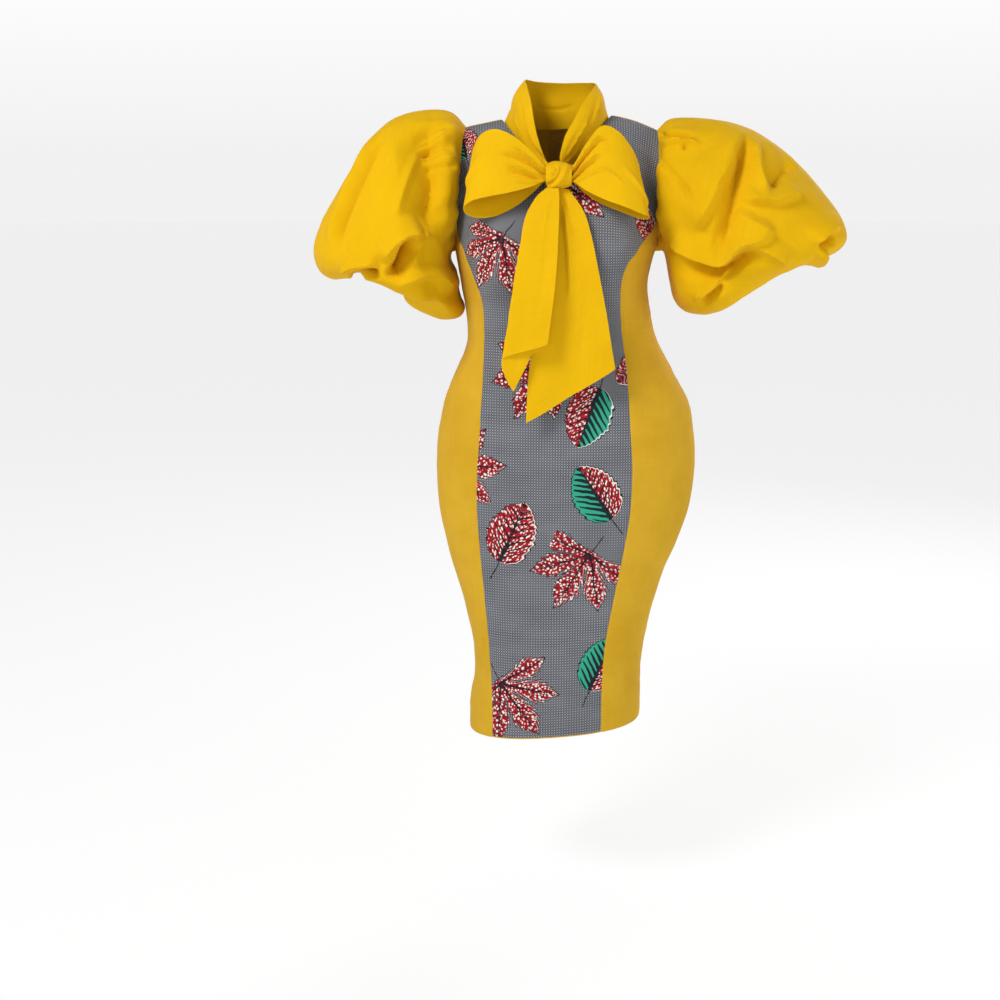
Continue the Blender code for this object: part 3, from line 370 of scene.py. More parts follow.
SLEEVE_BACK_CREASES = {
    "right": creases([
        (40, 10, -14, (-250, -190), (-262, -130), (-252, -70), (-226, -30)),
        (12, 46, 10, (-345, -205), (-322, -140), (-286, -75), (-262, -20)),
        (30, 8, 10, (-350, -246), (-305, -226), (-262, -232), (-225, -255)),
        (10, 20, -14, (-330, -262), (-292, -248), (-250, -256), (-222, -276)),
        (10, 16, 7, (-232, -160), (-214, -120), (-210, -70), (-200, -30)),
        (14, 10, -7, (-385, -200), (-366, -150), (-338, -104)),
    ]),
    "left": creases([
        (12, 44, -14, (262, -205), (276, -140), (270, -80), (244, -34)),
        (50, 10, 11, (352, -190), (336, -136), (318, -84), (300, -26)),
        (30, 8, 10, (232, -236), (276, -222), (330, -214), (392, -232)),
        (10, 20, -14, (246, -262), (290, -248), (340, -240), (388, -256)),
        (12, 18, 7, (424, -204), (404, -160), (386, -118), (360, -70)),
        (10, 16, -8, (470, -206), (440, -168), (426, -130)),
    ]),
}
# The body hardly creases: soft drag lines at the waist and over the hips.
BODY_FRONT_CREASES = creases([
    (14, 12, 1.2, (-120, -392), (-70, -404), (-20, -402)),
    (12, 16, -1.4, (10, -420), (70, -410), (126, -386)),
    (16, 16, 1, (-126, -470), (-80, -452), (-40, -446)),
    (20, 20, -1.2, (-60, -905), (10, -893), (70, -905)),
    (16, 16, 1.2, (60, -330), (100, -312), (130, -286)),
])
BODY_BACK_CREASES = creases([
    (14, 18, -2.6, (-80, -372), (-20, -382), (50, -376)),
    (12, 16, 2, (-100, -402), (-30, -410), (40, -408), (110, -396)),
    (14, 18, -2.2, (-50, -436), (30, -440), (120, -424)),
    (14, 12, 1.6, (-150, -470), (-100, -452), (-50, -450)),
    (18, 18, -1.8, (-90, -770), (0, -752), (110, -772)),
    (14, 14, 1.4, (70, -120), (110, -150), (150, -200)),
    (14, 14, 1.4, (-150, -200), (-110, -150), (-60, -125)),
])
# On the strips a crease's plane is the cloth itself: its places are along it from its start, and across it.
COLLAR_CREASES = creases([
    (8, 4, 4, (-10, 12), (60, 20), (150, 34)),
    (4, 10, -3.8, (0, 22), (70, 36), (150, 58)),
    (4, 4, 2.4, (20, 4), (50, 10), (90, 12)),
    (6, 6, -2.2, (170, 24), (210, 34), (250, 30)),
    (6, 6, 1.8, (260, 40), (300, 34), (340, 40)),
    (6, 3, 3.8, (420, 50), (500, 34), (610, 10)),
    (3, 7, -3.8, (440, 34), (520, 24), (620, 6)),
    (4, 4, 3, (500, 48), (540, 40), (590, 22)),
    (3, 3, -2.2, (520, 14), (550, 12), (580, 4)),
])
LOOP_CREASES = {
    "right": creases([
        (6, 3, 4.4, (-10, 3), (30, 14), (78, 22)),
        (3, 8, -4.6, (-10, 6), (36, 24), (96, 42)),
        (6, 3, 4.4, (-10, 10), (34, 36), (92, 62)),
        (3, 7, -4, (-10, 13), (36, 44), (84, 74)),
        (5, 3, 3, (0, 16), (40, 54), (70, 78)),
        (10, 12, 2.8, (110, 40), (150, 50), (190, 56)),
        (8, 8, -2.6, (230, 40), (280, 34), (320, 18)),
    ]),
    "left": creases([
        (5, 3, 4, (-10, 2), (30, 10), (74, 12)),
        (3, 6, -4.4, (-10, 5), (36, 20), (88, 28)),
        (5, 3, 4, (-10, 8), (30, 28), (70, 44)),
        (3, 6, -3.4, (-6, 12), (36, 40), (80, 64)),
        (5, 4, 3.4, (0, 17), (44, 58), (104, 94)),
        (10, 12, 2.6, (96, 60), (140, 64), (180, 60)),
        (8, 8, -2.4, (230, 50), (280, 40), (320, 18)),
    ]),
}
TAIL_OVER_CREASES = creases([
    (6, 4, 1.4, (10, 10), (70, 22), (160, 30)),
    (12, 12, -1, (120, 16), (200, 26), (260, 30)),
])
TAIL_UNDER_CREASES = creases([
    (12, 7, 3.6, (20, 14), (110, 40), (190, 60)),
    (4, 6, -1.8, (6, 10), (50, 30), (90, 50)),
    (14, 14, -1.6, (170, 84), (250, 96), (320, 104)),
])
KNOT_CREASES = creases([
    (9, 2.2, 4, (0, 36), (24, 34), (44, 24), (60, 8), (80, 2)),
    (2.2, 5, -3.2, (12, 30), (34, 24), (50, 12), (64, 0)),
    (3, 2.2, 2, (10, 6), (26, 10), (40, 8)),
    (3, 3, 1.8, (60, 34), (80, 26), (104, 20)),
    (2.2, 3, -2.4, (20, 18), (30, 18), (42, 12)),
])

# ---- How the cloth is made up ----
SEAM = 0.0003  # between a sewn-on piece and the body
PANEL_SEAM = 0.0001  # between two panels of the body
SHOULDER_END = 0.9997
BUST_VALLEY = math.radians(8)  # rounds the body between the busts
UNDERARM_BLEND = 0.05  # rounds the change from body to yoke, as shares of the body's height
UNDERARM_REACH = 0.16
BLEND_STEPS = ((-1, 1), (-0.5, 2), (0, 3), (0.5, 2), (1, 1))
BISECTIONS = 40
WELD = 0.00001
HEM_BINDING_HEIGHT = 0.0025
HEM_STITCH_RISE = 0.020
QUIET_SEAM = 0.035  # the cloth turns from smooth to creased over this distance round the zip's slider
QUIET_START = 0.3  # and starts to do so at this share of it
NAMES = ("right", "left")
OTHER = {"right": "left", "left": "right"}
LEFTWARD = {"right": -1, "left": 1}  # which way each side lies along X
NECK_MIDDLE = (NECK_X["right"] + NECK_X["left"]) / 2
TINY = 1e-12


def mix(a, b, share):
    return a + (b - a) * share


def ease(share):
    """0 to 1 with a soft start and end, from a share of the way."""
    share = np.clip(share, 0, 1)
    return share * share * (3 - 2 * share)


def along_table(rows, at):
    """A table's values at places along its first column, on smooth curves through its rows."""
    table = np.array(rows, float)
    keys = table[:, 0]
    at = np.clip(at, keys[0], keys[-1])
    i = np.clip(np.searchsorted(keys, at, side="right") - 1, 0, len(keys) - 2)
    before = np.maximum(np.arange(len(keys)) - 1, 0)
    after = np.minimum(np.arange(len(keys)) + 1, len(keys) - 1)
    slopes = (table[after] - table[before]) / (keys[after] - keys[before])[:, None]
    span = (keys[i + 1] - keys[i])[..., None]
    t = (at - keys[i])[..., None] / span
    values = (
        table[i] * (2 * t**3 - 3 * t**2 + 1)
        + slopes[i] * span * (t**3 - 2 * t**2 + t)
        + table[i + 1] * (3 * t**2 - 2 * t**3)
        + slopes[i + 1] * span * (t**3 - t**2)
    )
    return np.moveaxis(values[..., 1:], -1, 0)


def through_points(points, at):
    """Places on the smooth curve through evenly spaced points, counted in points."""
    points = np.array(points, float)
    at = np.asarray(at, float)
    i = np.clip(at.astype(int), 0, len(points) - 2)
    t = (at - i).reshape(at.shape + (1,) * (points.ndim - 1))
    longer = np.concatenate([points[:1] * 2 - points[1:2], points, points[-1:] * 2 - points[-2:-1]])
    before, a, b, after = (longer[i + k] for k in range(4))
    return (
        a * 2
        + (b - before) * t
        + (before * 2 - a * 5 + b * 4 - after) * t**2
        + (a * 3 - before - b * 3 + after) * t**3
    ) / 2


def metres_along(points, axis):
    """Distance along a grid's rows or columns from its first point."""
    steps = np.linalg.norm(np.diff(points, axis=axis), axis=-1)
    return np.insert(np.cumsum(steps, axis=axis), 0, 0, axis=axis)


# ---- The body's surface ----
# Places are (across, height, side): across from -1 at the right to 1 at the left, height from 0 at the hem to
# 1 at the underarm and 2 at the shoulder seam, side 1 in front and -1 behind.
def height_of(z):
    return (z - HEM_Z) / (UNDERARM_Z - HEM_Z)


def body_ring(across, z, side):
    right, left, front, back, bust = along_table(BODY, z)
    turn = across * np.pi / 2
    sine, cosine = np.sin(turn), np.cos(turn)
    x = (right + left) / 2 + (left - right) / 2 * sine * (1 + FULLNESS * cosine**2)
    y = (front if side > 0 else back) * cosine * (1 + FULLNESS * sine**2)
    if side > 0:
        y = y + bust * np.exp(-(((np.hypot(turn, BUST_VALLEY) - BUST_ANGLE) / BUST_SPREAD) ** 2))
    low = np.clip((HEM_TILT_FROM_Z - z) / (HEM_TILT_FROM_Z - HEM_Z), 0, 1)
    return np.stack(np.broadcast_arrays(x, -side * y, z + HEM_TILT * x * low), axis=-1)


def yoke(across, rise, side):
    base = body_ring(across, np.full_like(across, UNDERARM_Z), side)
    share = (base[..., 0] - BODY[-1][1]) / (BODY[-1][2] - BODY[-1][1])
    top_x = mix(SHOULDERS[0][0], SHOULDERS[-1][0], share)
    top_z = along_table(SHOULDERS, top_x)[0]
    edge = np.sin(np.abs(across) * np.pi / 2) ** ARMHOLE_EDGE
    lift = mix(1 - (1 - rise) ** CHEST_LIFT, (1 - np.cos(np.pi * rise)) / 2, edge)
    early, late = CHEST_SLOPE if side > 0 else UPPER_BACK_SLOPE
    reach = np.abs(base[..., 1]) * (1 - rise**early) ** late
    reach = np.hypot(reach, ARMHOLE_DEPTH * np.sin(np.pi * rise) * edge)
    return np.stack([mix(base[..., 0], top_x, rise), -side * reach, mix(UNDERARM_Z, top_z, lift)], axis=-1)


def body_place(across, height, side):
    low = body_ring(across, mix(HEM_Z, UNDERARM_Z, np.minimum(height, 1)), side)
    high = yoke(across, np.clip(height - 1, 0, 1), side)
    return np.where((height > 1)[..., None], high, low)


def body_point(across, height, side):
    """The body's surface, rounded where the body turns into the yoke."""
    across, height = np.broadcast_arrays(np.asarray(across, float), np.asarray(height, float))
    reach = UNDERARM_BLEND * ease(1 - np.abs(height - 1) / UNDERARM_REACH)
    total = sum(weight for _, weight in BLEND_STEPS)
    places = (body_place(across, height + step * reach, side) * weight for step, weight in BLEND_STEPS)
    return sum(places) / total


def across_at(x, height, side=1):
    """Where rows of the body reach given x."""
    x, height = np.broadcast_arrays(np.asarray(x, float), np.asarray(height, float))
    low, high = np.full(x.shape, -1.0), np.full(x.shape, 1.0)
    for _ in range(BISECTIONS):
        middle = (low + high) / 2
        short = body_point(middle, height, side)[..., 0] < x
        low, high = np.where(short, middle, low), np.where(short, high, middle)
    return (low + high) / 2


def stepped(across, height, side, distance):
    """Places that far along their rows, measured on the cloth; distance is towards the left."""
    near = np.clip(across, -1 + SLOPE_STEP, 1 - SLOPE_STEP)
    rate = body_point(near + SLOPE_STEP, height, side) - body_point(near - SLOPE_STEP, height, side)
    return np.clip(across + distance * 2 * SLOPE_STEP / np.linalg.norm(rate, axis=-1), -1, 1)


def rise_below_shoulder(drop):
    return 1 - (drop / -UNDERARM_Z) ** (1 / CHEST_LIFT)


def neck_v(rise, name):
    """Where rows meet one edge of the V, and the middle of the front below it."""
    drop, bottom = (1 - rise) ** CHEST_LIFT, (1 - NECK_V_RISE) ** CHEST_LIFT
    share = np.maximum(1 - drop / bottom, 0)
    return across_at(mix(NECK_V_X, NECK_X[name], share), 1 + rise, 1)


def neck_back(rise, name):
    """Where rows meet one half of the neck's edge behind, and its middle below it."""
    drop = (1 - rise) ** CHEST_LIFT * -UNDERARM_Z / NECK_BACK_DROP
    half = np.sqrt(np.maximum(1 - drop**2, 0))
    return across_at(mix(NECK_MIDDLE, NECK_X[name], half), 1 + rise, -1)


def princess(height, name):
    """Where rows meet the front seam on one side, or the armhole above it."""
    low = np.minimum(height, 1)
    start = across_at(along_table(PRINCESS, mix(HEM_Z, UNDERARM_Z, low))[NAMES.index(name)], low)
    share = np.clip((height - 1) / PRINCESS_TOP_RISE[name], 0, 1)
    return mix(start, LEFTWARD[name], share)


def centre_back(height):
    low = np.minimum(height, 1)
    right, left = along_table(BODY, mix(HEM_Z, UNDERARM_Z, low))[:2]
    return across_at(mix((right + left) / 2, NECK_MIDDLE, low**CENTRE_BACK_LEAN), height, -1)


def side_seam(height, side, name):
    """The side seam, and the armhole above it."""
    end = LEFTWARD[name]
    return stepped(np.full(len(height), float(end)), height, side, -end * PANEL_SEAM / 2 * (height <= 1))


# ---- Relief: what lifts the cloth off its smooth form ----
SEED_SHIFT = 7.3  # hills between one seed's part of the noise and the next's


def noise_at(places, seed):
    """Soft noise, about -1 to 1, at places counted in hills."""
    flat = (places + seed * SEED_SHIFT).reshape(-1, places.shape[-1])
    if flat.shape[1] < 3:
        flat = np.pad(flat, ((0, 0), (0, 3 - flat.shape[1])))
    return np.array([noise.noise(p) for p in flat.tolist()]).reshape(places.shape[:-1])


CREST = 0.03  # how round a crease's crest is, as a share of its width
BACK_CREST = 0.12  # the same behind
SLOPE_POWER = 1.15
END_FADE = 0.24  # the share of a crease's length over which each end fades
CREASE_STEPS = 6  # a crease's line is followed in this many steps for each of its points


def crease_lift(places, table, crest=CREST):
    """How far a table's creases lift the cloth at places on their plane."""
    flat = places.reshape(-1, 2)
    lift = np.zeros(len(flat))
    for crease in table:
        count = len(crease.points)
        line = through_points(crease.points, np.linspace(0, count - 1, CREASE_STEPS * count))
        reach = max(crease.upper_left, crease.lower_right)
        near = np.all((flat > line.min(axis=0) - reach) & (flat < line.max(axis=0) + reach), axis=-1)
        if not near.any():
            continue
        start, step = line[:-1], np.diff(line, axis=0)
        offset = flat[near][:, None] - start
        share = np.clip((offset * step).sum(axis=-1) / (step**2).sum(axis=-1), 0, 1)
        gap = np.linalg.norm(offset - share[..., None] * step, axis=-1)
        nearest = gap.argmin(axis=1)
        row = np.arange(len(nearest))
        turned = step[nearest, 0] * offset[row, nearest, 1] - step[nearest, 1] * offset[row, nearest, 0]
        width = np.where(turned > 0, crease.upper_left, crease.lower_right)
        off = np.hypot(gap[row, nearest] / width, crest) - crest
        lengths = np.insert(np.cumsum(np.linalg.norm(step, axis=-1)), 0, 0)
        along = mix(lengths[nearest], lengths[nearest + 1], share[row, nearest]) / lengths[-1]
        fade = ease(np.minimum(along, 1 - along) / END_FADE)
        lift[near] += crease.height * fade * np.maximum(1 - off, 0) ** SLOPE_POWER
    return lift.reshape(places.shape[:-1])


PUCKER = 0.0009
PUCKER_REACH = 0.011
PUCKER_PITCH = 0.017
SEAM_SINK = 0.0009
SEAM_SINK_REACH = 0.0030
BODY_RUMPLE = 0.0012
BODY_RUMPLE_SIZE = (0.075, 0.075, 0.05)
SIDE_FADE = 0.16
PUCKER_FADE = 12  # a seam's waves die out this fast towards the armhole


def pucker(distance, up, seed):
    """The small uneven waves of a sewn seam, and its own groove."""
    places = np.stack([up / PUCKER_PITCH, distance / PUCKER_PITCH / 2], axis=-1)
    waves = PUCKER * noise_at(places, seed) * np.exp(-distance / PUCKER_REACH)
    return waves - SEAM_SINK * np.exp(-((distance / SEAM_SINK_REACH) ** 2))


def body_relief(points, across, side):
    lift = crease_lift(points[..., [0, 2]], BODY_FRONT_CREASES if side > 0 else BODY_BACK_CREASES)
    lift = lift * ease((1 - np.abs(across)) / SIDE_FADE)
    lift = lift + BODY_RUMPLE * noise_at(points / BODY_RUMPLE_SIZE, seed=1)
    away = np.linalg.norm(points - np.mean(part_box("zip_slider"), axis=0), axis=-1)
    return lift * ease(away / QUIET_SEAM - QUIET_START)


def surface_normals(points, outward=1, closed=False):
    upwards = np.gradient(points, axis=0)
    if closed:
        ring = points[:, :-1]
        sideways = np.roll(ring, -1, axis=1) - np.roll(ring, 1, axis=1)
        sideways = np.concatenate([sideways, sideways[:, :1]], axis=1)
    else:
        sideways = np.gradient(points, axis=1)
    normals = np.cross(sideways, upwards) * outward
    return normals / np.maximum(np.linalg.norm(normals, axis=-1), TINY)[..., None]


# ---- Cloth pieces ----
Grid = namedtuple("Grid", "points places normals")
ROW_PITCH = 0.004
YOKE_ROWS = 72
RING_COLUMNS = 360
EDGE_CROWDING = 0.6
HEM_STITCHES = height_of(HEM_Z + HEM_STITCH_RISE)


def crowded(columns):
    """Shares across a panel, closer together near its two seams."""
    share = np.linspace(0, 1, columns + 1)
    return share - EDGE_CROWDING * np.sin(2 * np.pi * share) / (2 * np.pi)


def panel_heights(bottom, top, places):
    """Heights of a panel's rows; the nearest rows are moved to the places named."""
    count = round((UNDERARM_Z - HEM_Z) / ROW_PITCH)
    rows = np.concatenate([np.linspace(0, 1, count + 1), np.linspace(1, 2, YOKE_ROWS + 1)[1:]])
    for place in [*places, bottom, top]:
        rows[np.abs(rows - place).argmin()] = place
    return rows[(rows >= bottom) & (rows <= top)]


def panel(heights, side, name, outer, inner, columns, middle, seams):
    """A panel between its outer and inner edges, with places measured from the middle line and up it."""
    right_edge, left_edge = (outer, inner) if name == "right" else (inner, outer)
    across = mix(right_edge[:, None], left_edge[:, None], crowded(columns))
    rows = heights[:, None] + 0 * across
    points = body_point(across, rows, side)
    ring = np.linspace(-1, 1, RING_COLUMNS + 1)
    gone = metres_along(body_point(ring[None], heights[:, None], side), 1)
    u = np.array([np.interp(a, ring, g) - np.interp(m, ring, g) for a, m, g in zip(across, middle, gone)])
    v = metres_along(body_point(middle, heights, side), 0)[:, None] + 0 * across
    lift = body_relief(points, across, side)
    for seed, edge in seams:
        distance = np.abs(u - (u[:, :1] if edge == "right" else u[:, -1:]))
        lift = lift + pucker(distance, v, seed) * ease((1 - np.abs(across)) * PUCKER_FADE + (rows < 1))
    normals = surface_normals(points, side)
    return Grid(points + normals * lift[..., None], np.stack([u, v], axis=-1), normals)


def seam_ends(name):
    """Heights where the front seam reaches the armhole, and where the side panel ends just below."""
    return [1 + PRINCESS_TOP_RISE[name], 1 + PRINCESS_TOP_RISE[name] - SIDE_PANEL_END]


FRONT_PLACES = [HEM_STITCHES, *seam_ends("right"), *seam_ends("left")]
CENTRE_BACK_SEED = 4


def front_halves(bottom):
    """The printed panel's two halves, which meet below the V of the neck."""
    heights = panel_heights(bottom, 1 + SHOULDER_END, [1 + NECK_V_RISE, *FRONT_PLACES])
    middle = across_at(NECK_V_X, heights)
    columns = context_sizes().front_columns
    halves = []
    for seed, name in enumerate(NAMES):
        inner = np.where(heights <= 1 + NECK_V_RISE, middle, neck_v(np.maximum(heights - 1, 0), name))
        gap = PANEL_SEAM / 2 * (heights < 1 + PRINCESS_TOP_RISE[name])
        outer = stepped(princess(heights, name), heights, 1, -LEFTWARD[name] * gap)
        halves.append(panel(heights, 1, name, outer, inner, columns, middle, [(seed, name)]))
    return halves


def front_side_grid(name):
    heights = panel_heights(0, seam_ends(name)[1], FRONT_PLACES)
    inner = stepped(princess(heights, name), heights, 1, LEFTWARD[name] * PANEL_SEAM / 2)
    middle = across_at(NECK_V_X, heights)
    seams = [(NAMES.index(name), OTHER[name]), (2 + NAMES.index(name), name)]
    outer = side_seam(heights, 1, name)
    return panel(heights, 1, name, outer, inner, context_sizes().side_columns, middle, seams)


def back_grid(name):
    neck_rise = rise_below_shoulder(NECK_BACK_DROP)
    heights = panel_heights(0, 1 + SHOULDER_END, [HEM_STITCHES, 1 + neck_rise])
    centre = centre_back(heights)
    sewn = stepped(centre, heights, -1, LEFTWARD[name] * PANEL_SEAM / 2)
    inner = np.where(heights <= 1 + neck_rise, sewn, neck_back(np.maximum(heights - 1, 0), name))
    seams = [(CENTRE_BACK_SEED, OTHER[name]), (2 + NAMES.index(name), name)]
    outer = side_seam(heights, -1, name)
    return panel(heights, -1, name, outer, inner, context_sizes().back_columns, centre, seams)


def add_object(name, mesh_data, material):
    """A finished piece from bmesh data: smooth, with its material, riding on the dress."""
    mesh = bpy.data.meshes.new(name)
    mesh_data.to_mesh(mesh)
    mesh_data.free()
    for polygon in mesh.polygons:
        polygon.use_smooth = True
    obj = bpy.data.objects.new(name, mesh)
    bpy.context.scene.collection.objects.link(obj)
    mesh.materials.append(material)
    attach(obj, "dress")
    return obj


EDGE_ROUNDING = 0.46
EDGE_ANGLE = math.radians(65)


def cloth_shell(name, grids, thickness, material, outward=1):
    """One cloth piece: its grids joined, given their thickness inwards, and their edges rounded."""
    bm = bmesh.new()
    layer = bm.loops.layers.uv.new("cloth")
    for grid in grids:
        rows, columns = grid.points.shape[0] - 1, grid.points.shape[1] - 1
        made = bmesh.ops.create_grid(bm, x_segments=columns, y_segments=rows, size=0.5)
        for vert in made["verts"]:
            at = round((vert.co.y + 0.5) * rows), round((vert.co.x + 0.5) * columns)
            vert.co = grid.points[at]
            for loop in vert.link_loops:
                loop[layer].uv = grid.places[at]
    bmesh.ops.remove_doubles(bm, verts=bm.verts, dist=WELD)
    if outward < 0:
        bmesh.ops.reverse_faces(bm, faces=bm.faces)
    obj = add_object(name, bm, material)
    shell = obj.modifiers.new("thickness", "SOLIDIFY")
    shell.thickness = thickness
    shell.offset = -1
    rounded = obj.modifiers.new("edges", "BEVEL")
    rounded.width = thickness * EDGE_ROUNDING
    rounded.segments = 2
    rounded.limit_method = "ANGLE"
    rounded.angle_limit = EDGE_ANGLE
    rounded.harden_normals = True
    return obj


# What each piece is cut to, the node it takes the place of, how it is held and what it rests on.
Cut = namedtuple("Cut", "width length area node held rests_on")
ON_FRONT, ON_BACK = ["front_centre_cloth"], ["back_cloth_right", "back_cloth_left"]
CUTS = {
    "front_centre_cloth": Cut(0.447, 1.167, 0.304, "front_centre_panel", "draped", ON_BACK),
    "front_side_cloth_right": Cut(0.164, 0.977, 0.101, "front_side_right", "draped", ON_FRONT),
    "front_side_cloth_left": Cut(0.230, 1.011, 0.136, "front_side_left", "draped", ON_FRONT),
    "back_cloth_right": Cut(0.317, 1.171, 0.269, "back_right", "draped", ON_FRONT),
    "back_cloth_left": Cut(0.325, 1.171, 0.273, "back_left", "draped", ON_FRONT),
    "sleeve_cloth_right": Cut(0.928, 0.547, 0.313, "sleeve_right", "gathered", ["back_cloth_right"]),
    "sleeve_cloth_left": Cut(0.979, 0.553, 0.347, "sleeve_left", "gathered", ["back_cloth_left"]),
    "band_cloth_right": Cut(0.338, 0.025, 0.0084, "sleeve_band_right", "stretched", ["sleeve_cloth_right"]),
    "band_cloth_left": Cut(0.335, 0.025, 0.0083, "sleeve_band_left", "stretched", ["sleeve_cloth_left"]),
    "collar_cloth": Cut(0.610, 0.090, 0.0416, "collar_tie", "folded", ON_FRONT),
    "knot_cloth": Cut(0.145, 0.046, 0.0064, "bow_knot", "folded", ["collar_cloth"]),
    "loop_cloth_right": Cut(0.313, 0.120, 0.0282, "bow_loop_right", "folded", ["knot_cloth"]),
    "loop_cloth_left": Cut(0.305, 0.129, 0.0270, "bow_loop_left", "folded", ["knot_cloth"]),
    "tail_cloth_right": Cut(0.252, 0.303, 0.0369, "bow_tail_right", "hung", ["knot_cloth"]),
    "tail_cloth_left": Cut(0.179, 0.348, 0.0351, "bow_tail_left", "hung", ["knot_cloth"]),
    "zip_tape_cloth": Cut(0.024, 0.558, 0.0133, "zip_tape", "hung", ON_BACK),
}


def sew(name, grid, thickness, dye, outward=1):
    """A plain piece of cloth, which takes the place of its node in the frame."""
    piece = cloth_shell(name, [grid], thickness, cotton(dye), outward)
    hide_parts(CUTS[name].node)


# ---- Sleeves ----
SLEEVE_CREASE = 1.8  # the height of the sleeves' creases, as a multiple of their table's
SLEEVE_RUMPLE = 0.0022
SLEEVE_RUMPLE_SIZE = 0.085
SLEEVE_FINE_RUMPLE = 0.0009
SLEEVE_FINE_SIZE = 0.052
OUTLINE_REACH = 40  # degrees from the shoulder line and from the underside over which the cloth lies calmer
OUTLINE_CALM = 0.25
INNER_FULLNESS = {"right": 0.014, "left": 0.002}
INNER_RINGS = 1.5  # the fullness underneath comes in over this many rings
INNER_START = 0.8  # and starts after this share of as many
OUTLINE_TUCKS = {"right": (0.009, 3.4), "left": (-0.002, 5.0)}  # how deep, and at which ring
TUCK_RINGS = 1.6  # how many rings a tuck fades over
GATHER_START = 0.6
# The gathers at the armhole and at the band: their depth, how many rings they reach over, and their waves
# round the sleeve, each with its share, its count, and its sway's size and count.
ARMHOLE_GATHERS = (0.0033, 2.2, ((0.6, 9, 0, 0), (0.4, 16, 2, 3)))
BAND_GATHERS = (0.0034, 2.0, ((0.55, 13, 1, 2), (0.45, 22, 1.5, 5)))
END_RINGS = 0.3  # the cloth keeps to its seams this near its ends
FRONT_SHARE = 0.6  # of a sleeve's columns lie in front
BACK_SHARE = 0.75  # how much of that height a crease behind has
FRONT_FADE = 14  # degrees over which front and back creases change over
BAND_ROWS = 8


def armhole_points(turns, name):
    """The armhole's edge; turn runs from 0 at the shoulder tip through 180 at the underarm, front first."""
    height = 1 + np.abs(1 - turns / 180)
    end = LEFTWARD[name]
    points = np.where((turns <= 180)[..., None], body_point(end, height, 1), body_point(end, height, -1))
    return points + [end * SEAM, 0, 0]


def ring_points(ring, turns):
    outer_x, outer_z, inner_x, inner_z, depth, sway, lift = ring
    angle = np.radians(turns)
    cosine, middle = np.cos(angle), np.sin(angle) ** 2
    x = (outer_x + inner_x) / 2 + (outer_x - inner_x) / 2 * cosine + sway * middle
    z = (outer_z + inner_z) / 2 + (outer_z - inner_z) / 2 * cosine + lift * middle
    return np.stack([x, -depth * np.sin(angle), z], axis=-1)


def gathers(turns, rings_away, depth, reach, waves):
    """Uneven waves round the sleeve, which fade in and out over their reach from a seam."""
    angle = np.radians(turns)
    fade = np.sin(np.pi * np.clip(rings_away / reach, 0, 1) ** GATHER_START)
    uneven = 0
    for share, count, sway, sways in waves:
        uneven = uneven + share * np.cos(count * angle + sway * np.sin(sways * angle))
    return depth * fade * uneven


def fold_lift(turns, along, name):
    """The long folds, and the gathers at the armhole and at the band."""
    lift = gathers(turns, along, *ARMHOLE_GATHERS) + gathers(turns, len(SLEEVES[name]) - along, *BAND_GATHERS)
    for fold in SLEEVE_FOLDS[name]:
        share = np.clip((along - fold.ring_start) / (fold.ring_end - fold.ring_start), 0, 1)
        off = (turns - mix(fold.turn_start, fold.turn_end, share) + 180) % 360 - 180
        lift = lift + fold.depth * np.sin(np.pi * share) ** FOLD_FULLNESS * np.exp(-((off / fold.width) ** 2))
    return lift


def sleeve_relief(points, turns, along, name):
    """All that lifts a sleeve's cloth, which lies calmer along its top and its underside."""
    front = ease(np.minimum(turns, 180 - turns) / FRONT_FADE)
    back = ease(np.minimum(turns - 180, 360 - turns) / FRONT_FADE)
    plane = points[..., [0, 2]]
    crease = crease_lift(plane, SLEEVE_FRONT_CREASES[name]) * front
    crease = crease + crease_lift(plane, SLEEVE_BACK_CREASES[name], BACK_CREST) * back * BACK_SHARE
    calm = mix(OUTLINE_CALM, 1, ease(np.minimum(turns, 360 - turns) / OUTLINE_REACH))
    soft = SLEEVE_RUMPLE * noise_at(points / SLEEVE_RUMPLE_SIZE, seed=3) * calm
    ridges = 1 - 3 * np.abs(noise_at(points / SLEEVE_FINE_SIZE, seed=4))
    fine = SLEEVE_FINE_RUMPLE * ridges * calm
    underneath = ease(1 - np.abs(turns - 180) / OUTLINE_REACH)
    inner = INNER_FULLNESS[name] * underneath * ease(along / INNER_RINGS - INNER_START)
    ends = ease(along / END_RINGS) * ease((len(SLEEVES[name]) - along) / END_RINGS)
    lift = fold_lift(turns, along, name) * calm + (crease * SLEEVE_CREASE + soft + fine + inner) * ends
    tuck, tuck_ring = OUTLINE_TUCKS[name]
    return lift - tuck * (1 - calm) * np.exp(-((along - tuck_ring) / TUCK_RINGS) ** 2)


def sleeve_grid(name):
    sizes = context_sizes()
    front_columns = round(sizes.sleeve_columns * FRONT_SHARE)
    behind = np.linspace(180, 360, sizes.sleeve_columns - front_columns + 1)
    turns = np.concatenate([np.linspace(0, 180, front_columns + 1), behind[1:]])
    along = np.linspace(0, len(SLEEVES[name]), sizes.sleeve_rows + 1)
    frames = [armhole_points(turns, name), *(ring_points(ring, turns) for ring in SLEEVES[name])]
    points = through_points(np.array(frames), along)
    turns, along = np.meshgrid(turns, along)
    around = metres_along(points, 1)
    places = np.stack([around - around[:, -1:] / 2, metres_along(points, 0)], axis=-1)
    normals = surface_normals(points, LEFTWARD[name], closed=True)
    lift = sleeve_relief(points, turns, along, name)
    return Grid(points + normals * lift[..., None], places, normals)


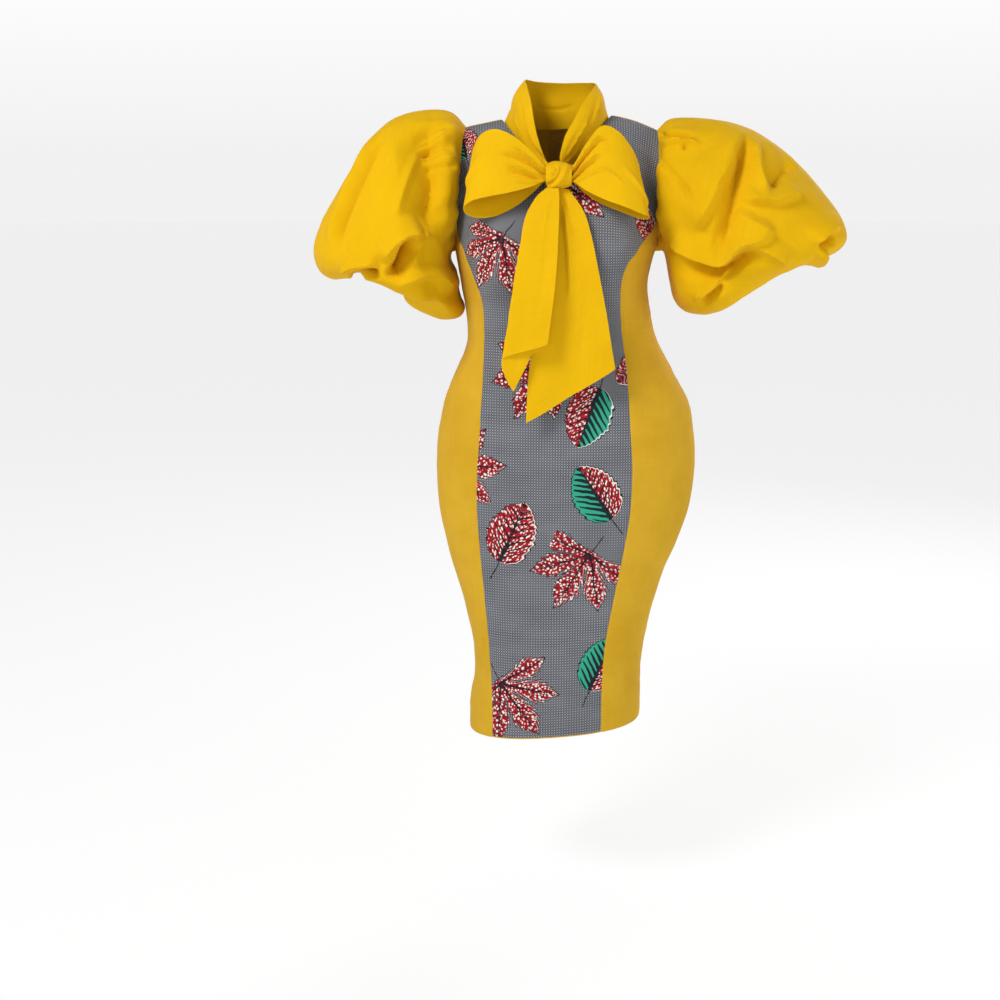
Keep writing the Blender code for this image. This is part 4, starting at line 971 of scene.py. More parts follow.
def band_grid(name):
    """The band round the upper arm, which the sleeve's fullness is gathered into."""
    last = SLEEVES[name][-1]
    across = np.array([last[0] - last[2], 0, last[1] - last[3]])
    up = np.cross([0, 1, 0], across / np.linalg.norm(across))
    up *= np.sign(up[2])
    turns = np.linspace(0, 360, context_sizes().band_columns + 1)
    ring = ring_points(last, turns)
    rises = np.linspace(SEAM, SLEEVE_BAND_HEIGHT, BAND_ROWS + 1)
    points = ring[None] + up * rises[:, None, None]
    around = metres_along(points, 1)
    places = np.stack([around, rises[:, None] + 0 * around], axis=-1)
    normals = surface_normals(points, LEFTWARD[name], closed=True)
    return Grid(points, places, normals)


# ---- Collar, knot, loops and tails ----
TIE_CREASE = 1.35  # the height of the tie's creases, as a multiple of their tables'
TIE_RUMPLE = 0.0010
TIE_RUMPLE_SIZE = 0.030
KNOT_RUMPLE = 0.0014
TIE_EDGE = 0.006  # the creases come in over this distance from a strip's edges
TIE_EDGE_SHARE = 0.5
COLLAR_SEED, LOOP_SEED, KNOT_SEED, TAIL_SEED = 11, 12, 15, 17


def strip_grid(points, table, outward, seed, rumple=TIE_RUMPLE, closed=False):
    """A strip of cloth with its creases; its places are metres along it and across it."""
    normals = surface_normals(points, outward, closed)
    rows = metres_along(points, 1)
    middle = rows[len(rows) // 2]
    across = metres_along(points, 0)
    places = np.stack([middle[None] + 0 * across, across], axis=-1)
    lift = crease_lift(places, table) * TIE_CREASE + rumple * noise_at(points / TIE_RUMPLE_SIZE, seed)
    edge = np.minimum(across, across[-1:] - across)
    lift = lift * mix(TIE_EDGE_SHARE, 1, ease(edge / TIE_EDGE))
    return Grid(points + normals * lift[..., None], places, normals)


def neckline(along):
    """The neck edge from near the foot of the V, up the right, round the back and down the left."""
    right = along <= NECK_RIGHT_ALONG
    left = along >= NECK_LEFT_ALONG
    from_foot = np.clip(np.where(right, along / NECK_RIGHT_ALONG, (1 - along) / (1 - NECK_LEFT_ALONG)), 0, 1)
    rise = mix(COLLAR_RISE, 1, from_foot**NECK_STEEPNESS)
    ahead_right, ahead_left = (body_point(neck_v(rise, name), 1 + rise, 1) for name in NAMES)
    sweep = np.clip((along - NECK_RIGHT_ALONG) / (NECK_LEFT_ALONG - NECK_RIGHT_ALONG), 0, 1) * np.pi
    back_rise = rise_below_shoulder(NECK_BACK_DROP * np.sin(sweep))
    back_x = mix(NECK_X["right"], NECK_X["left"], (1 - np.cos(sweep)) / 2)
    behind = body_point(across_at(back_x, 1 + back_rise, -1), 1 + back_rise, -1)
    return np.where(right[:, None], ahead_right, np.where(left[:, None], ahead_left, behind))


def collar_grid():
    sizes = context_sizes()
    along = np.linspace(0, 1, sizes.collar_columns + 1)
    up = np.linspace(0, 1, sizes.collar_rows + 1)[:, None, None]
    edge = neckline(along)
    middle = np.zeros_like(edge)
    middle[:, 0], middle[:, 2] = NECK_MIDDLE, edge[:, 2]
    inwards = (middle - edge) / np.linalg.norm(middle - edge, axis=-1)[:, None]
    foot = edge + inwards * COLLAR_INSET - [0, 0, COLLAR_OVERLAP]
    x, y, z, bulge = along_table(COLLAR, along)
    free = np.stack([x, y, z], axis=-1)
    tucked = np.maximum(1 - np.minimum(along, 1 - along) / TUCK_LENGTH, 0)[:, None]
    ends = np.array([TUCKS[round(share)] for share in along])
    foot = mix(foot, ends[:, [0, 1, 2]], tucked)
    free = mix(free, ends[:, [0, 3, 4]], tucked)
    swell_way = (foot - middle) / np.linalg.norm(foot - middle, axis=-1)[:, None]
    points = mix(foot[None], free[None], up) + swell_way * bulge[:, None] * np.sin(np.pi * up**2)
    return strip_grid(points, COLLAR_CREASES, -1, COLLAR_SEED)


def loop_grid(name):
    sizes = context_sizes()
    rows = LOOPS[name]
    at = np.linspace(0, len(rows) - 1, sizes.loop_columns + 1)
    top, bottom = through_points(rows[:, :3], at), through_points(rows[:, 3:], at)
    share = np.linspace(0, 1, sizes.loop_rows + 1)[:, None, None]
    points = mix(top[None], bottom[None], share)
    return strip_grid(points, LOOP_CREASES[name], -LEFTWARD[name], LOOP_SEED + NAMES.index(name))


def knot_grid():
    sizes = context_sizes()
    angle = np.linspace(0, 2 * np.pi, sizes.knot_columns + 1)
    at = np.linspace(0, len(KNOT) - 1, sizes.knot_rows + 1)
    x, half_y, half_z = np.moveaxis(through_points(KNOT, at), -1, 0)[..., None]
    y, z = KNOT_Y - half_y * np.sin(angle), KNOT_Z + half_z * np.cos(angle)
    points = np.stack([x + 0 * y, y, z], axis=-1)
    return strip_grid(points, KNOT_CREASES, 1, KNOT_SEED, KNOT_RUMPLE, closed=True)


def tail_grid(name):
    """The right tail is folded lengthwise and lies in front; the left one is flat, with one soft fold."""
    folded = name == "right"
    sizes = context_sizes()
    table, end_cut = (TAIL_OVER, TAIL_OVER_END) if folded else (TAIL_UNDER, TAIL_UNDER_END)
    across = np.linspace(0, 1, sizes.tail_columns + 1)[None]
    down = np.linspace(0, 1, sizes.tail_rows + 1)[:, None]
    z = mix(-table[0][0], -np.interp(across, *end_cut), down)
    right, left, y = along_table(table, -z)
    if folded:
        x = (left + right) / 2 + (left - right) / 2 * np.cos(2 * np.pi * across)
        half = mix(TAIL_FOLD_TOP, TAIL_FOLD_HALF, np.sqrt(np.minimum(down / TAIL_PINCH, 1)))
        y = y - half * np.cos(np.pi * across)
    else:
        x = mix(right, left, across)
        y = y - TAIL_RIPPLE * down * np.cos(2 * np.pi * (across * TAIL_RIPPLES - TAIL_RIPPLE_SHIFT))
    # The strip runs down, so its rows and columns change places while its creases are laid.
    points = np.stack([x, y, z], axis=-1).transpose(1, 0, 2)
    table = TAIL_OVER_CREASES if folded else TAIL_UNDER_CREASES
    grid = strip_grid(points, table, LEFTWARD[name], TAIL_SEED + NAMES.index(name))
    return Grid(*(part.transpose(1, 0, 2) for part in grid))


# ---- Zip and stitches ----
TAPE_DEPTH = 0.0018
TOOTH_PITCH = 0.0013
TOOTH_SIZE = (0.0011, 0.00045, 0.0006)
TOOTH_SHIFT = 0.0007
TEETH_DEPTH = 0.0034
STITCH_PITCH = 0.0036
STITCH_SIZE = (0.0013, 0.00028, 0.00022)
STITCH_ABOVE = 0.00005
BEAD_SEGMENTS = 6
BEAD_RINGS = 4
TAPE_COLUMNS = 10


def tape_grid():
    """The tape behind the centre back seam, following the cloth over it."""
    heights = panel_heights(height_of(ZIP_BOTTOM_Z), 1 + ZIP_TOP_RISE, [])
    centre = centre_back(heights)
    offsets = np.linspace(-0.5, 0.5, TAPE_COLUMNS + 1) * ZIP_TAPE_WIDTH
    across = np.stack([stepped(centre, heights, -1, offset) for offset in offsets], axis=1)
    rows = heights[:, None] + 0 * across
    points = body_point(across, rows, -1)
    normals = surface_normals(points, -1)
    lift = body_relief(points, across, -1) - TAPE_DEPTH
    up = metres_along(points, 0)
    places = np.stack([offsets[None] + 0 * across, up], axis=-1)
    return Grid(points + normals * lift[..., None], places, normals)


def even_places(line, pitch):
    """Rows of values resampled at even steps along the line in their first three columns."""
    gone = np.insert(np.cumsum(np.linalg.norm(np.diff(line[:, :3], axis=0), axis=-1)), 0, 0)
    at = np.arange(pitch / 2, gone[-1], pitch)
    return np.stack([np.interp(at, gone, column) for column in line.T], axis=1)


def add_beads(bm, line, pitch, size, above, zigzag=0):
    """Small long beads set end to end along a line of points with their normals."""
    places = even_places(line, pitch)
    steps = np.gradient(places[:, :3], axis=0)
    for i, (place, step) in enumerate(zip(places, steps)):
        ahead = Vector(step).normalized()
        out = Vector(place[3:])
        out = (out - ahead * out.dot(ahead)).normalized()
        side = out.cross(ahead)
        turn = Matrix((ahead * size[0], side * size[1], out * size[2])).transposed().to_4x4()
        centre = Vector(place[:3]) + out * above + side * zigzag * (1 if i % 2 else -1)
        matrix = Matrix.Translation(centre) @ turn
        counts = {"u_segments": BEAD_SEGMENTS, "v_segments": BEAD_RINGS}
        bmesh.ops.create_uvsphere(bm, **counts, radius=0.5, matrix=matrix)


def grid_line(grid, line):
    """The points of one of a grid's rows or columns, with their normals."""
    return np.concatenate([grid.points[line], grid.normals[line]], axis=-1)


def nearest_row(grid, z):
    return int(np.abs(grid.points[:, grid.points.shape[1] // 2, 2] - z).argmin())


# ---- Cloth, thread and metal finishes ----
def srgb(red, green, blue):
    """A shader colour from everyday 0 to 255 values."""
    shares = (value / 255 for value in (red, green, blue))
    return tuple(((c + 0.055) / 1.055) ** 2.4 if c > 0.04045 else c / 12.92 for c in shares)


def shade(colour, factor):
    return tuple(c * factor for c in colour)


def opaque(colour):
    return (*colour, 1.0)


class Strand:
    """A shader socket that takes part in Python sums, which add their Math nodes."""

    def __init__(self, tree, socket=None):
        self.tree, self.socket = tree, socket

    def node(self, kind, settings=None, sockets=None, output=0):
        """Adds a node: its settings first, then its sockets' values or links; gives one of its outputs."""
        node = self.tree.nodes.new("ShaderNode" + kind)
        for name, value in (settings or {}).items():
            if name == "stops":
                stops = node.color_ramp.elements
                for place, _ in value[2:]:
                    stops.new(place)
                for stop, (place, colour) in zip(stops, value):
                    stop.position, stop.color = place, opaque(colour)
            elif name == "curve":
                curve = node.mapping.curves[0].points
                for place in value[1:-1]:
                    curve.new(*place)
                curve[0].location, curve[-1].location = value[0], value[-1]
                node.mapping.update()
            else:
                setattr(node, name, value)
        for name, value in (sockets or {}).items():
            if isinstance(value, Strand):
                self.tree.links.new(value.socket, node.inputs[name])
            else:
                node.inputs[name].default_value = value
        return Strand(self.tree, node.outputs[output])

    def math(self, operation, *others, clamp=False):
        """A Math node whose first value is this one."""
        settings = {"operation": operation, "use_clamp": clamp}
        return self.node("Math", settings, dict(enumerate((self, *others))))

    def __add__(self, other):
        return self.math("ADD", other)

    def __sub__(self, other):
        return self.math("SUBTRACT", other)

    def __rsub__(self, other):
        return self.node("Math", {"operation": "SUBTRACT"}, {0: other, 1: self})

    def __mul__(self, other):
        return self.math("MULTIPLY", other)

    def __truediv__(self, other):
        return self.math("DIVIDE", other)

    __radd__, __rmul__ = __add__, __mul__

    def __abs__(self):
        return self.math("ABSOLUTE")

    def fraction(self):
        return self.math("FRACT")

    def wave(self, pitch):
        return (self * (2 * math.pi / pitch)).math("SINE")

    def above(self, edge, soft):
        """1 where this is above the edge and 0 below it, with a soft step that wide."""
        return (self - edge).math("MULTIPLY_ADD", 1 / soft, 0.5, clamp=True)

    def between(self, other, mask):
        """This value where the mask is 0, the other where it is 1."""
        return self.node("Mix", {"data_type": "FLOAT"}, {0: mask, 2: self, 3: other})

    def dyed(self, colour, mask):
        """This colour with another over it by a mask."""
        over = colour if isinstance(colour, Strand) else opaque(colour)
        return self.node("Mix", {"data_type": "RGBA"}, {0: mask, 6: self, 7: over}, 2)

    def ramp(self, *stops):
        """The colour at this value, on a ramp of places with their colours."""
        return self.node("ValToRGB", {"stops": stops}, {0: self})

    def curve(self, points):
        return self.node("FloatCurve", {"curve": points}, {"Value": self})

    def bump(self, strength, distance):
        return self.node("Bump", None, {"Strength": strength, "Distance": distance, "Height": self})

    def stretched(self, *scale):
        return self.node("Mapping", {"vector_type": "POINT"}, {"Vector": self, "Scale": scale})

    def noise(self, scale, detail=2.0, roughness=0.5):
        sockets = {"Vector": self, "Scale": scale, "Detail": detail, "Roughness": roughness}
        return self.node("TexNoise", {"noise_dimensions": "3D"}, sockets)

    def parts(self):
        """The three numbers of a vector."""
        split = self.node("SeparateXYZ", None, {0: self})
        return [Strand(self.tree, socket) for socket in split.socket.node.outputs]

    def joined(self, x, y, z=0.0):
        return self.node("CombineXYZ", None, {0: x, 1: y, 2: z})

    def on_cloth(self):
        """Places on a piece's own cloth, in metres."""
        return self.node("UVMap", {"uv_map": "cloth"})

    def in_space(self):
        return self.node("TexCoord", output="Object")


def socket_name(label):
    return label.replace("_", " ").title().replace("Ior", "IOR")


def new_finish(name, **constants):
    """A material with its Principled shader, whose constants are set on its own sockets."""
    material = bpy.data.materials.new(name)
    material.use_nodes = True
    shader = material.node_tree.nodes["Principled BSDF"]
    for label, value in constants.items():
        shader.inputs[socket_name(label)].default_value = value
    return material, shader, Strand(material.node_tree)


def connect(shader, **outputs):
    for label, strand in outputs.items():
        strand.tree.links.new(strand.socket, shader.inputs[socket_name(label)])


THREAD_PITCH = 0.00055
WEAVE_DEPTH = 0.00009
WEAVE_STRENGTH = 0.55
WEAVE_SHARES = (0.35, 0.9, 1.6)  # how far threads, slubs and patches lift the cloth
SLUBS_ALONG, SLUBS_ACROSS = 14, 900  # in a metre of thread, and in a metre of cloth
SLUB_DULLNESS = 0.08
SLUB_STEP = 0.3
DYE_SHARES = (0.8, 0.2)  # how much clouds and patches count in the dye's unevenness
WORN_FROM, WORN_SHARE, WORN_TONE = 1.15, 0.22, 1.12
WORN_LIFT = 0.004
FADED_FROM, FADED_SHARE, FADED_TONE = 0.12, 0.16, 0.86
CLOTH_SHEEN = {"sheen_weight": 0.02, "sheen_roughness": 0.5, "specular_ior_level": 0.08}
YELLOW_ROUGHNESS, YELLOW_PATCHY = 0.82, 0.16
PRINT_ROUGHNESS, PRINT_PATCHY = 0.78, 0.14
THREAD_ROUGHNESS, TAPE_ROUGHNESS, METAL_ROUGHNESS, FLOOR_ROUGHNESS = 0.62, 0.70, 0.22, 0.9
THREAD_TONE, TAPE_TONE, FLOOR_TONE = 0.7, 0.72, 0.985  # the darker tone's share of each colour
RIB_PITCH, PICK_PITCH = 0.0011, 0.0008
# Noise scales of the finishes.
PATCHES, CLOUDS, TWIST, FLECKS, TARNISH, SCRATCHES, MOTTLE = 42.0, 9.0, 2600.0, 180.0, 420.0, 900.0, 3.0


def weave(cloth, roughness, patchy):
    """A plain weave of crossed threads with slubs: its patches, slubs, roughness and bump."""
    patches = cloth.noise(PATCHES)
    u, v, _ = cloth.parts()
    warp = cloth.stretched(SLUBS_ACROSS, SLUBS_ALONG, 1).noise(1.0, detail=1.0)
    weft = cloth.stretched(SLUBS_ALONG, SLUBS_ACROSS, 1).noise(1.0, detail=1.0)
    slubs = warp + weft
    rough = roughness + (patches - 0.5) * patchy + (slubs - 1) * SLUB_DULLNESS
    parts = u.wave(THREAD_PITCH) * v.wave(THREAD_PITCH), slubs, patches
    threads, thick, lifted = (part * share for part, share in zip(parts, WEAVE_SHARES))
    return patches, slubs, rough, (threads + thick + lifted).bump(WEAVE_STRENGTH, WEAVE_DEPTH)


def yellow_finish(name, bright, deep):
    """Plain dyed cotton: the dye takes a little unevenly, and the threads show close to."""
    material, shader, start = new_finish(name, roughness=YELLOW_ROUGHNESS, **CLOTH_SHEEN)
    cloth = start.on_cloth()
    patches, slubs, rough, bump = weave(cloth, YELLOW_ROUGHNESS, YELLOW_PATCHY)
    clouds = cloth.noise(CLOUDS, detail=3.0, roughness=0.55)
    uneven = clouds * DYE_SHARES[0] + patches * DYE_SHARES[1]
    worn = tuple(min(c * WORN_TONE + WORN_LIFT, 1) for c in bright)
    colour = uneven.ramp((0.34, deep), (0.62, bright))
    colour = colour.dyed(worn, slubs.above(WORN_FROM, SLUB_STEP) * WORN_SHARE)
    colour = colour.dyed(shade(deep, FADED_TONE), (1 - slubs).above(FADED_FROM, SLUB_STEP) * FADED_SHARE)
    connect(shader, base_color=colour, roughness=rough, normal=bump)
    return material


def cotton(part):
    """The plain cloth of one part of the dress, dyed once; the body's colour is partly painted shade."""
    dyes = bpy.context.scene.dress_dyes
    name = f"{part}_yellow_cotton"
    made = bpy.data.materials.get(name)
    return made or yellow_finish(name, getattr(dyes, part), getattr(dyes, f"{part}_deep"))


def thread_finish():
    """Sewing thread: matt, with its twist showing as fine bands."""
    made = bpy.data.materials.get("yellow_thread")
    if made:
        return made
    colour = bpy.context.scene.dress_dyes.thread
    material, shader, start = new_finish("yellow_thread", roughness=0.7, sheen_weight=0.2)
    twist = start.in_space().noise(TWIST, detail=1.0)
    tone = twist.ramp((0.35, shade(colour, THREAD_TONE)), (0.6, colour))
    bump = twist.bump(strength=0.4, distance=0.00008)
    connect(shader, base_color=tone, roughness=THREAD_ROUGHNESS + twist * 0.16, normal=bump)
    return material


def tape_finish():
    """Woven zip tape with a fine lengthwise rib."""
    tape = bpy.context.scene.dress_zip.tape
    material, shader, start = new_finish("woven_zip_tape", roughness=0.75)
    cloth = start.on_cloth()
    u, v, _ = cloth.parts()
    ribs, picks = u.wave(RIB_PITCH), v.wave(PICK_PITCH)
    uneven = cloth.noise(FLECKS)
    colour = (uneven + ribs * 0.12).ramp((0.3, shade(tape, TAPE_TONE)), (0.7, tape))
    bump = (ribs * 0.7 + picks * 0.3).bump(strength=0.5, distance=0.0001)
    connect(shader, base_color=colour, roughness=TAPE_ROUGHNESS + uneven * 0.12, normal=bump)
    return material


def metal_finish():
    """Cast zip metal, a little tarnished in patches and rubbed by use."""
    colours = bpy.context.scene.dress_zip
    material, shader, start = new_finish("zip_brass", roughness=0.32, metallic=1.0)
    place = start.in_space()
    patches = place.noise(TARNISH, detail=3.0, roughness=0.6)
    scratches = place.stretched(1, 1, 9).noise(SCRATCHES)
    tone = patches.ramp((0.35, colours.tarnish), (0.6, colours.metal))
    rough = METAL_ROUGHNESS + patches * 0.22 + scratches * 0.12
    bump = (scratches + patches).bump(strength=0.25, distance=0.00005)
    connect(shader, base_color=tone, roughness=rough, normal=bump)
    return material


def floor_finish():
    """The studio floor: pale, very slightly mottled, and lit from within so that it stays pale far away."""
    stage = bpy.context.scene.dress_stage
    glow = {"emission_color": (1, 1, 1, 1), "emission_strength": stage.floor_glow}
    material, shader, start = new_finish("studio_floor_paint", roughness=FLOOR_ROUGHNESS, **glow)
    mottle = start.in_space().noise(MOTTLE)
    connect(shader, base_color=mottle.ramp((0.3, shade(stage.floor, FLOOR_TONE)), (0.7, stage.floor)))
    return material


# ---- The print ----
# Where a leaf's base and end show, in pixels of the camera's square frame, then its flip and its rim's side.
# A hand's base is where its lobes meet, and its end is its middle lobe's tip. The share is how much of the
# leaf is between the two: the first leaf's tip is over the shoulder, out of sight, so its end is its middle.
Leaf = namedtuple("Leaf", "kind base end flip rim share", defaults=[1])
OVAL, TWO_TONE, HAND = 0, 1, 2
LEAVES = [
    Leaf(TWO_TONE, (467, 159), (463, 142), -1, 1, share=0.5),
    Leaf(HAND, (502, 239), (478, 288), 1, -1),
    Leaf(HAND, (563, 183), (603, 218), 1, -1),
    Leaf(OVAL, (652, 246), (636, 203), 1, 1),
    Leaf(HAND, (545, 365), (515, 420), 1, -1),
    Leaf(OVAL, (648, 356), (617, 384), 1, -1),
    Leaf(TWO_TONE, (600, 389), (577, 449), -1, 1),
    Leaf(TWO_TONE, (612, 521), (578, 468), -1, -1),
    Leaf(OVAL, (499, 563), (526, 505), 1, 1),
    Leaf(HAND, (450, 468), (506, 468), 1, 1),
    Leaf(HAND, (590, 556), (554, 609), 1, -1),
    Leaf(HAND, (501, 684), (539, 735), 1, -1),
    Leaf(TWO_TONE, (589, 692), (614, 638), -1, -1),
]
FRAME_PIXELS = 1000
# A leaf laid on the cloth: its middle, which way its tip points, its length, its flip and its rim's side.
LaidLeaf = namedtuple("LaidLeaf", "kind u v turn length flip rim")
FIT_POINTS, FIT_SOFT = 12, 0.5  # the cloth's points nearest to a pixel, and how evenly they count
RIM_ON_LEFT = 4
LEAF_CODE = 0.001
LONGEST_LEAF = 0.30
# Half widths of an oval and of a hand's lobe, at places from base to tip, as shares of its length.
OVAL_HALF = [
    (0.0, 0.0), (0.04, 0.15), (0.14, 0.26), (0.35, 0.34), (0.56, 0.34),
    (0.75, 0.27), (0.9, 0.155), (0.97, 0.07), (1.0, 0.0),
]
LOBE_HALF = [(0.0, 0.08), (0.2, 0.08), (0.42, 0.13), (0.62, 0.18), (0.76, 0.15), (0.88, 0.075), (1.0, 0.0)]
OVAL_WIDTH, SCALLOP = 1.05, 0.2
LOBE_WIDTH, TOOTH = 0.74, 0.44
LOBE_TEETH = 6.5
TOOTH_SLANT = 1.1
SIDE_VEINS = 9
OVAL_SLANT, LOBE_SLANT = 0.85, 1.3  # how steeply the side veins rise outwards
PALM_LOW = 0.36  # how far below a hand's middle its lobes meet
LOBE_TURN = math.radians(41)
OUTER_LOBE = 2
LOBE_LENGTH, LOBE_LOSS, LOBE_LOSS_GROWTH = 0.86, 0.04, 0.02  # the middle lobe's, and what the outer ones lack
# Half widths as shares of a leaf's length, then the side veins' as shares of their spacing.
MIDRIB_BASE, MIDRIB_HAND_LESS, MIDRIB_TIP, MIDRIB_SOFT = 0.036, 0.020, 0.005, 0.006
VEIN_BASE, VEIN_TIP, VEIN_HAND_LESS, VEIN_SOFT = 0.15, 0.05, 0.35, 0.05
VEIN_END = 0.86
GREEN_VEINS = 0.9  # how much wider the veins are on the green halves
OUTLINE, OUTLINE_SOFT = 0.0020, 0.0006
OUTLINE_FROM, OUTLINE_TO = -0.012, 1.025
RIM, RIM_SOFT, RIM_HAND_LESS = 0.0021, 0.0008, 0.7
STEM_HALF, STEM_BEND, STEM_FROM, STEM_LENGTH = 0.0009, 0.25, -0.02, 0.30
KIND_SOFT, SIDE_SOFT, TIP_SOFT, LINE_SOFT = 0.1, 0.01, 0.004, 0.0005
SPECKLE_PITCH = 0.0062
SPECKLE_HALF, DRAWN_HALF = 0.36, 0.35
SPECKLE_SPREAD, SPECKLE_LESS, SPECKLE_SOFT = 0.22, 0.20, 0.08
SPECKLES_ALONG_VEINS = (2.1, 22)
DOT_PITCH = 0.0047
DOT_HALF = 0.27
SMALL_DOT_HALF = 0.17
DOT_SOFT = 0.05
DOT_STRENGTH = 0.80
SMALL_DOT_STRENGTH = 0.6
WOBBLE, DRIFT = 0.0022, 0.006  # how far the print's lines stray over short and long stretches
INK_SHARE, RIM_SHARE = 0.96, 0.92
PRINT_WORN_FROM, PRINT_WORN_SHARE = 1.16, 0.10
# Noise scales of the print.
WOBBLES, DRIFTS, RED_CLOUDS, GROUND_CLOUDS, GROUND_STREAKS = 160.0, 45.0, 60.0, 5.0, 11.0


def in_frame(points):
    """Where points of the dress show in the camera's frame, in pixels from its upper left corner."""
    forward = np.subtract(CAMERA_TARGET, CAMERA_PLACE)
    forward = forward / np.linalg.norm(forward)
    right = np.cross(forward, (0, 0, 1))
    right = right / np.linalg.norm(right)
    from_camera = points - np.array(CAMERA_PLACE)
    scale = FRAME_PIXELS * CAMERA_LENS / CAMERA_SENSOR / (from_camera @ forward)
    across, down = from_camera @ right, -from_camera @ np.cross(right, forward)
    return np.stack([across * scale, down * scale], axis=-1) + FRAME_PIXELS / 2


def laid_leaves():
    """The leaves where they lie on the printed panel, worked out from where they show."""
    halves = front_halves(0)
    pixels = in_frame(np.concatenate([half.points.reshape(-1, 3) for half in halves]))
    places = np.concatenate([half.places.reshape(-1, 2) for half in halves])

    def on_panel(pixel):
        """The place on the cloth that shows at a pixel, from a plane through the nearest points."""
        shifts = pixels - pixel
        away = (shifts ** 2).sum(axis=1)
        near = np.argsort(away, kind="stable")[:FIT_POINTS]
        weights = 1 / (away[near] + FIT_SOFT)[:, None]
        terms = np.column_stack([np.ones(FIT_POINTS), shifts[near]])
        return np.linalg.lstsq(terms * weights, places[near] * weights, rcond=None)[0][0]

    laid = []
    for leaf in LEAVES:
        base = on_panel(leaf.base)
        way = on_panel(leaf.end) - base
        length = float(np.hypot(*way)) / (LOBE_LENGTH if leaf.kind == HAND else leaf.share)
        middle = base + way / np.hypot(*way) * length * (PALM_LOW if leaf.kind == HAND else 0.5)
        turn = math.degrees(math.atan2(way[1], way[0]))
        laid.append(LaidLeaf(leaf.kind, *middle.tolist(), turn, length, leaf.flip, leaf.rim))
    return laid


def nearest_leaf(cloth):
    """Places in the frame of the nearest leaf: across it, along it from its middle, and its code."""
    best = place = None
    for leaf in laid_leaves():
        kind = leaf.kind + (RIM_ON_LEFT if leaf.rim < 0 else 0)
        code = (kind + leaf.length / LONGEST_LEAF) * LEAF_CODE
        sockets = {
            "Vector": cloth,
            "Location": (leaf.u, leaf.v, -code),
            "Rotation": (0, 0, math.radians(leaf.turn - 90)),
            "Scale": (leaf.length * leaf.flip, leaf.length, 1),
        }
        own = cloth.node("Mapping", {"vector_type": "TEXTURE"}, sockets)
        away = own.node("VectorMath", {"operation": "LENGTH"}, {0: own}, "Value")
        if place is None:
            best, place = away, own
            continue
        closer = away.math("LESS_THAN", best)
        place = own.node("Mix", {"data_type": "VECTOR"}, {0: closer, 4: place, 5: own}, 1)
        best = away.math("MINIMUM", best)
    return place


def oval_blade(x, y):
    """An oval's place along it and out from its midrib, its half width and its side veins' count."""
    along, out = y + 0.5, abs(x)
    vein = (along - out * OVAL_SLANT) * SIDE_VEINS
    scallops = abs(vein.fraction() - 0.5)
    return along, out, along.curve(OVAL_HALF) * (OVAL_WIDTH - scallops * SCALLOP), vein


def hand_blade(x, up):
    """The same for a hand of five lobes, folded onto one, and how long the lobe is."""
    angle = abs(x).math("ARCTAN2", up)
    lobe = (angle / LOBE_TURN + 0.5).math("FLOOR").math("MINIMUM", OUTER_LOBE)
    swing = angle - lobe * LOBE_TURN
    away = (x * x + up * up).math("SQRT")
    reach = LOBE_LENGTH - lobe * (lobe * LOBE_LOSS_GROWTH + LOBE_LOSS)
    along = away * swing.math("COSINE") / reach
    out = abs(away * swing.math("SINE")) / reach
    vein = (along - out * LOBE_SLANT) * (SIDE_VEINS + 1)
    teeth = ((along - out * TOOTH_SLANT) * LOBE_TEETH).fraction()
    return (along, out, along.curve(LOBE_HALF) * (LOBE_WIDTH + teeth * TOOTH), vein), reach


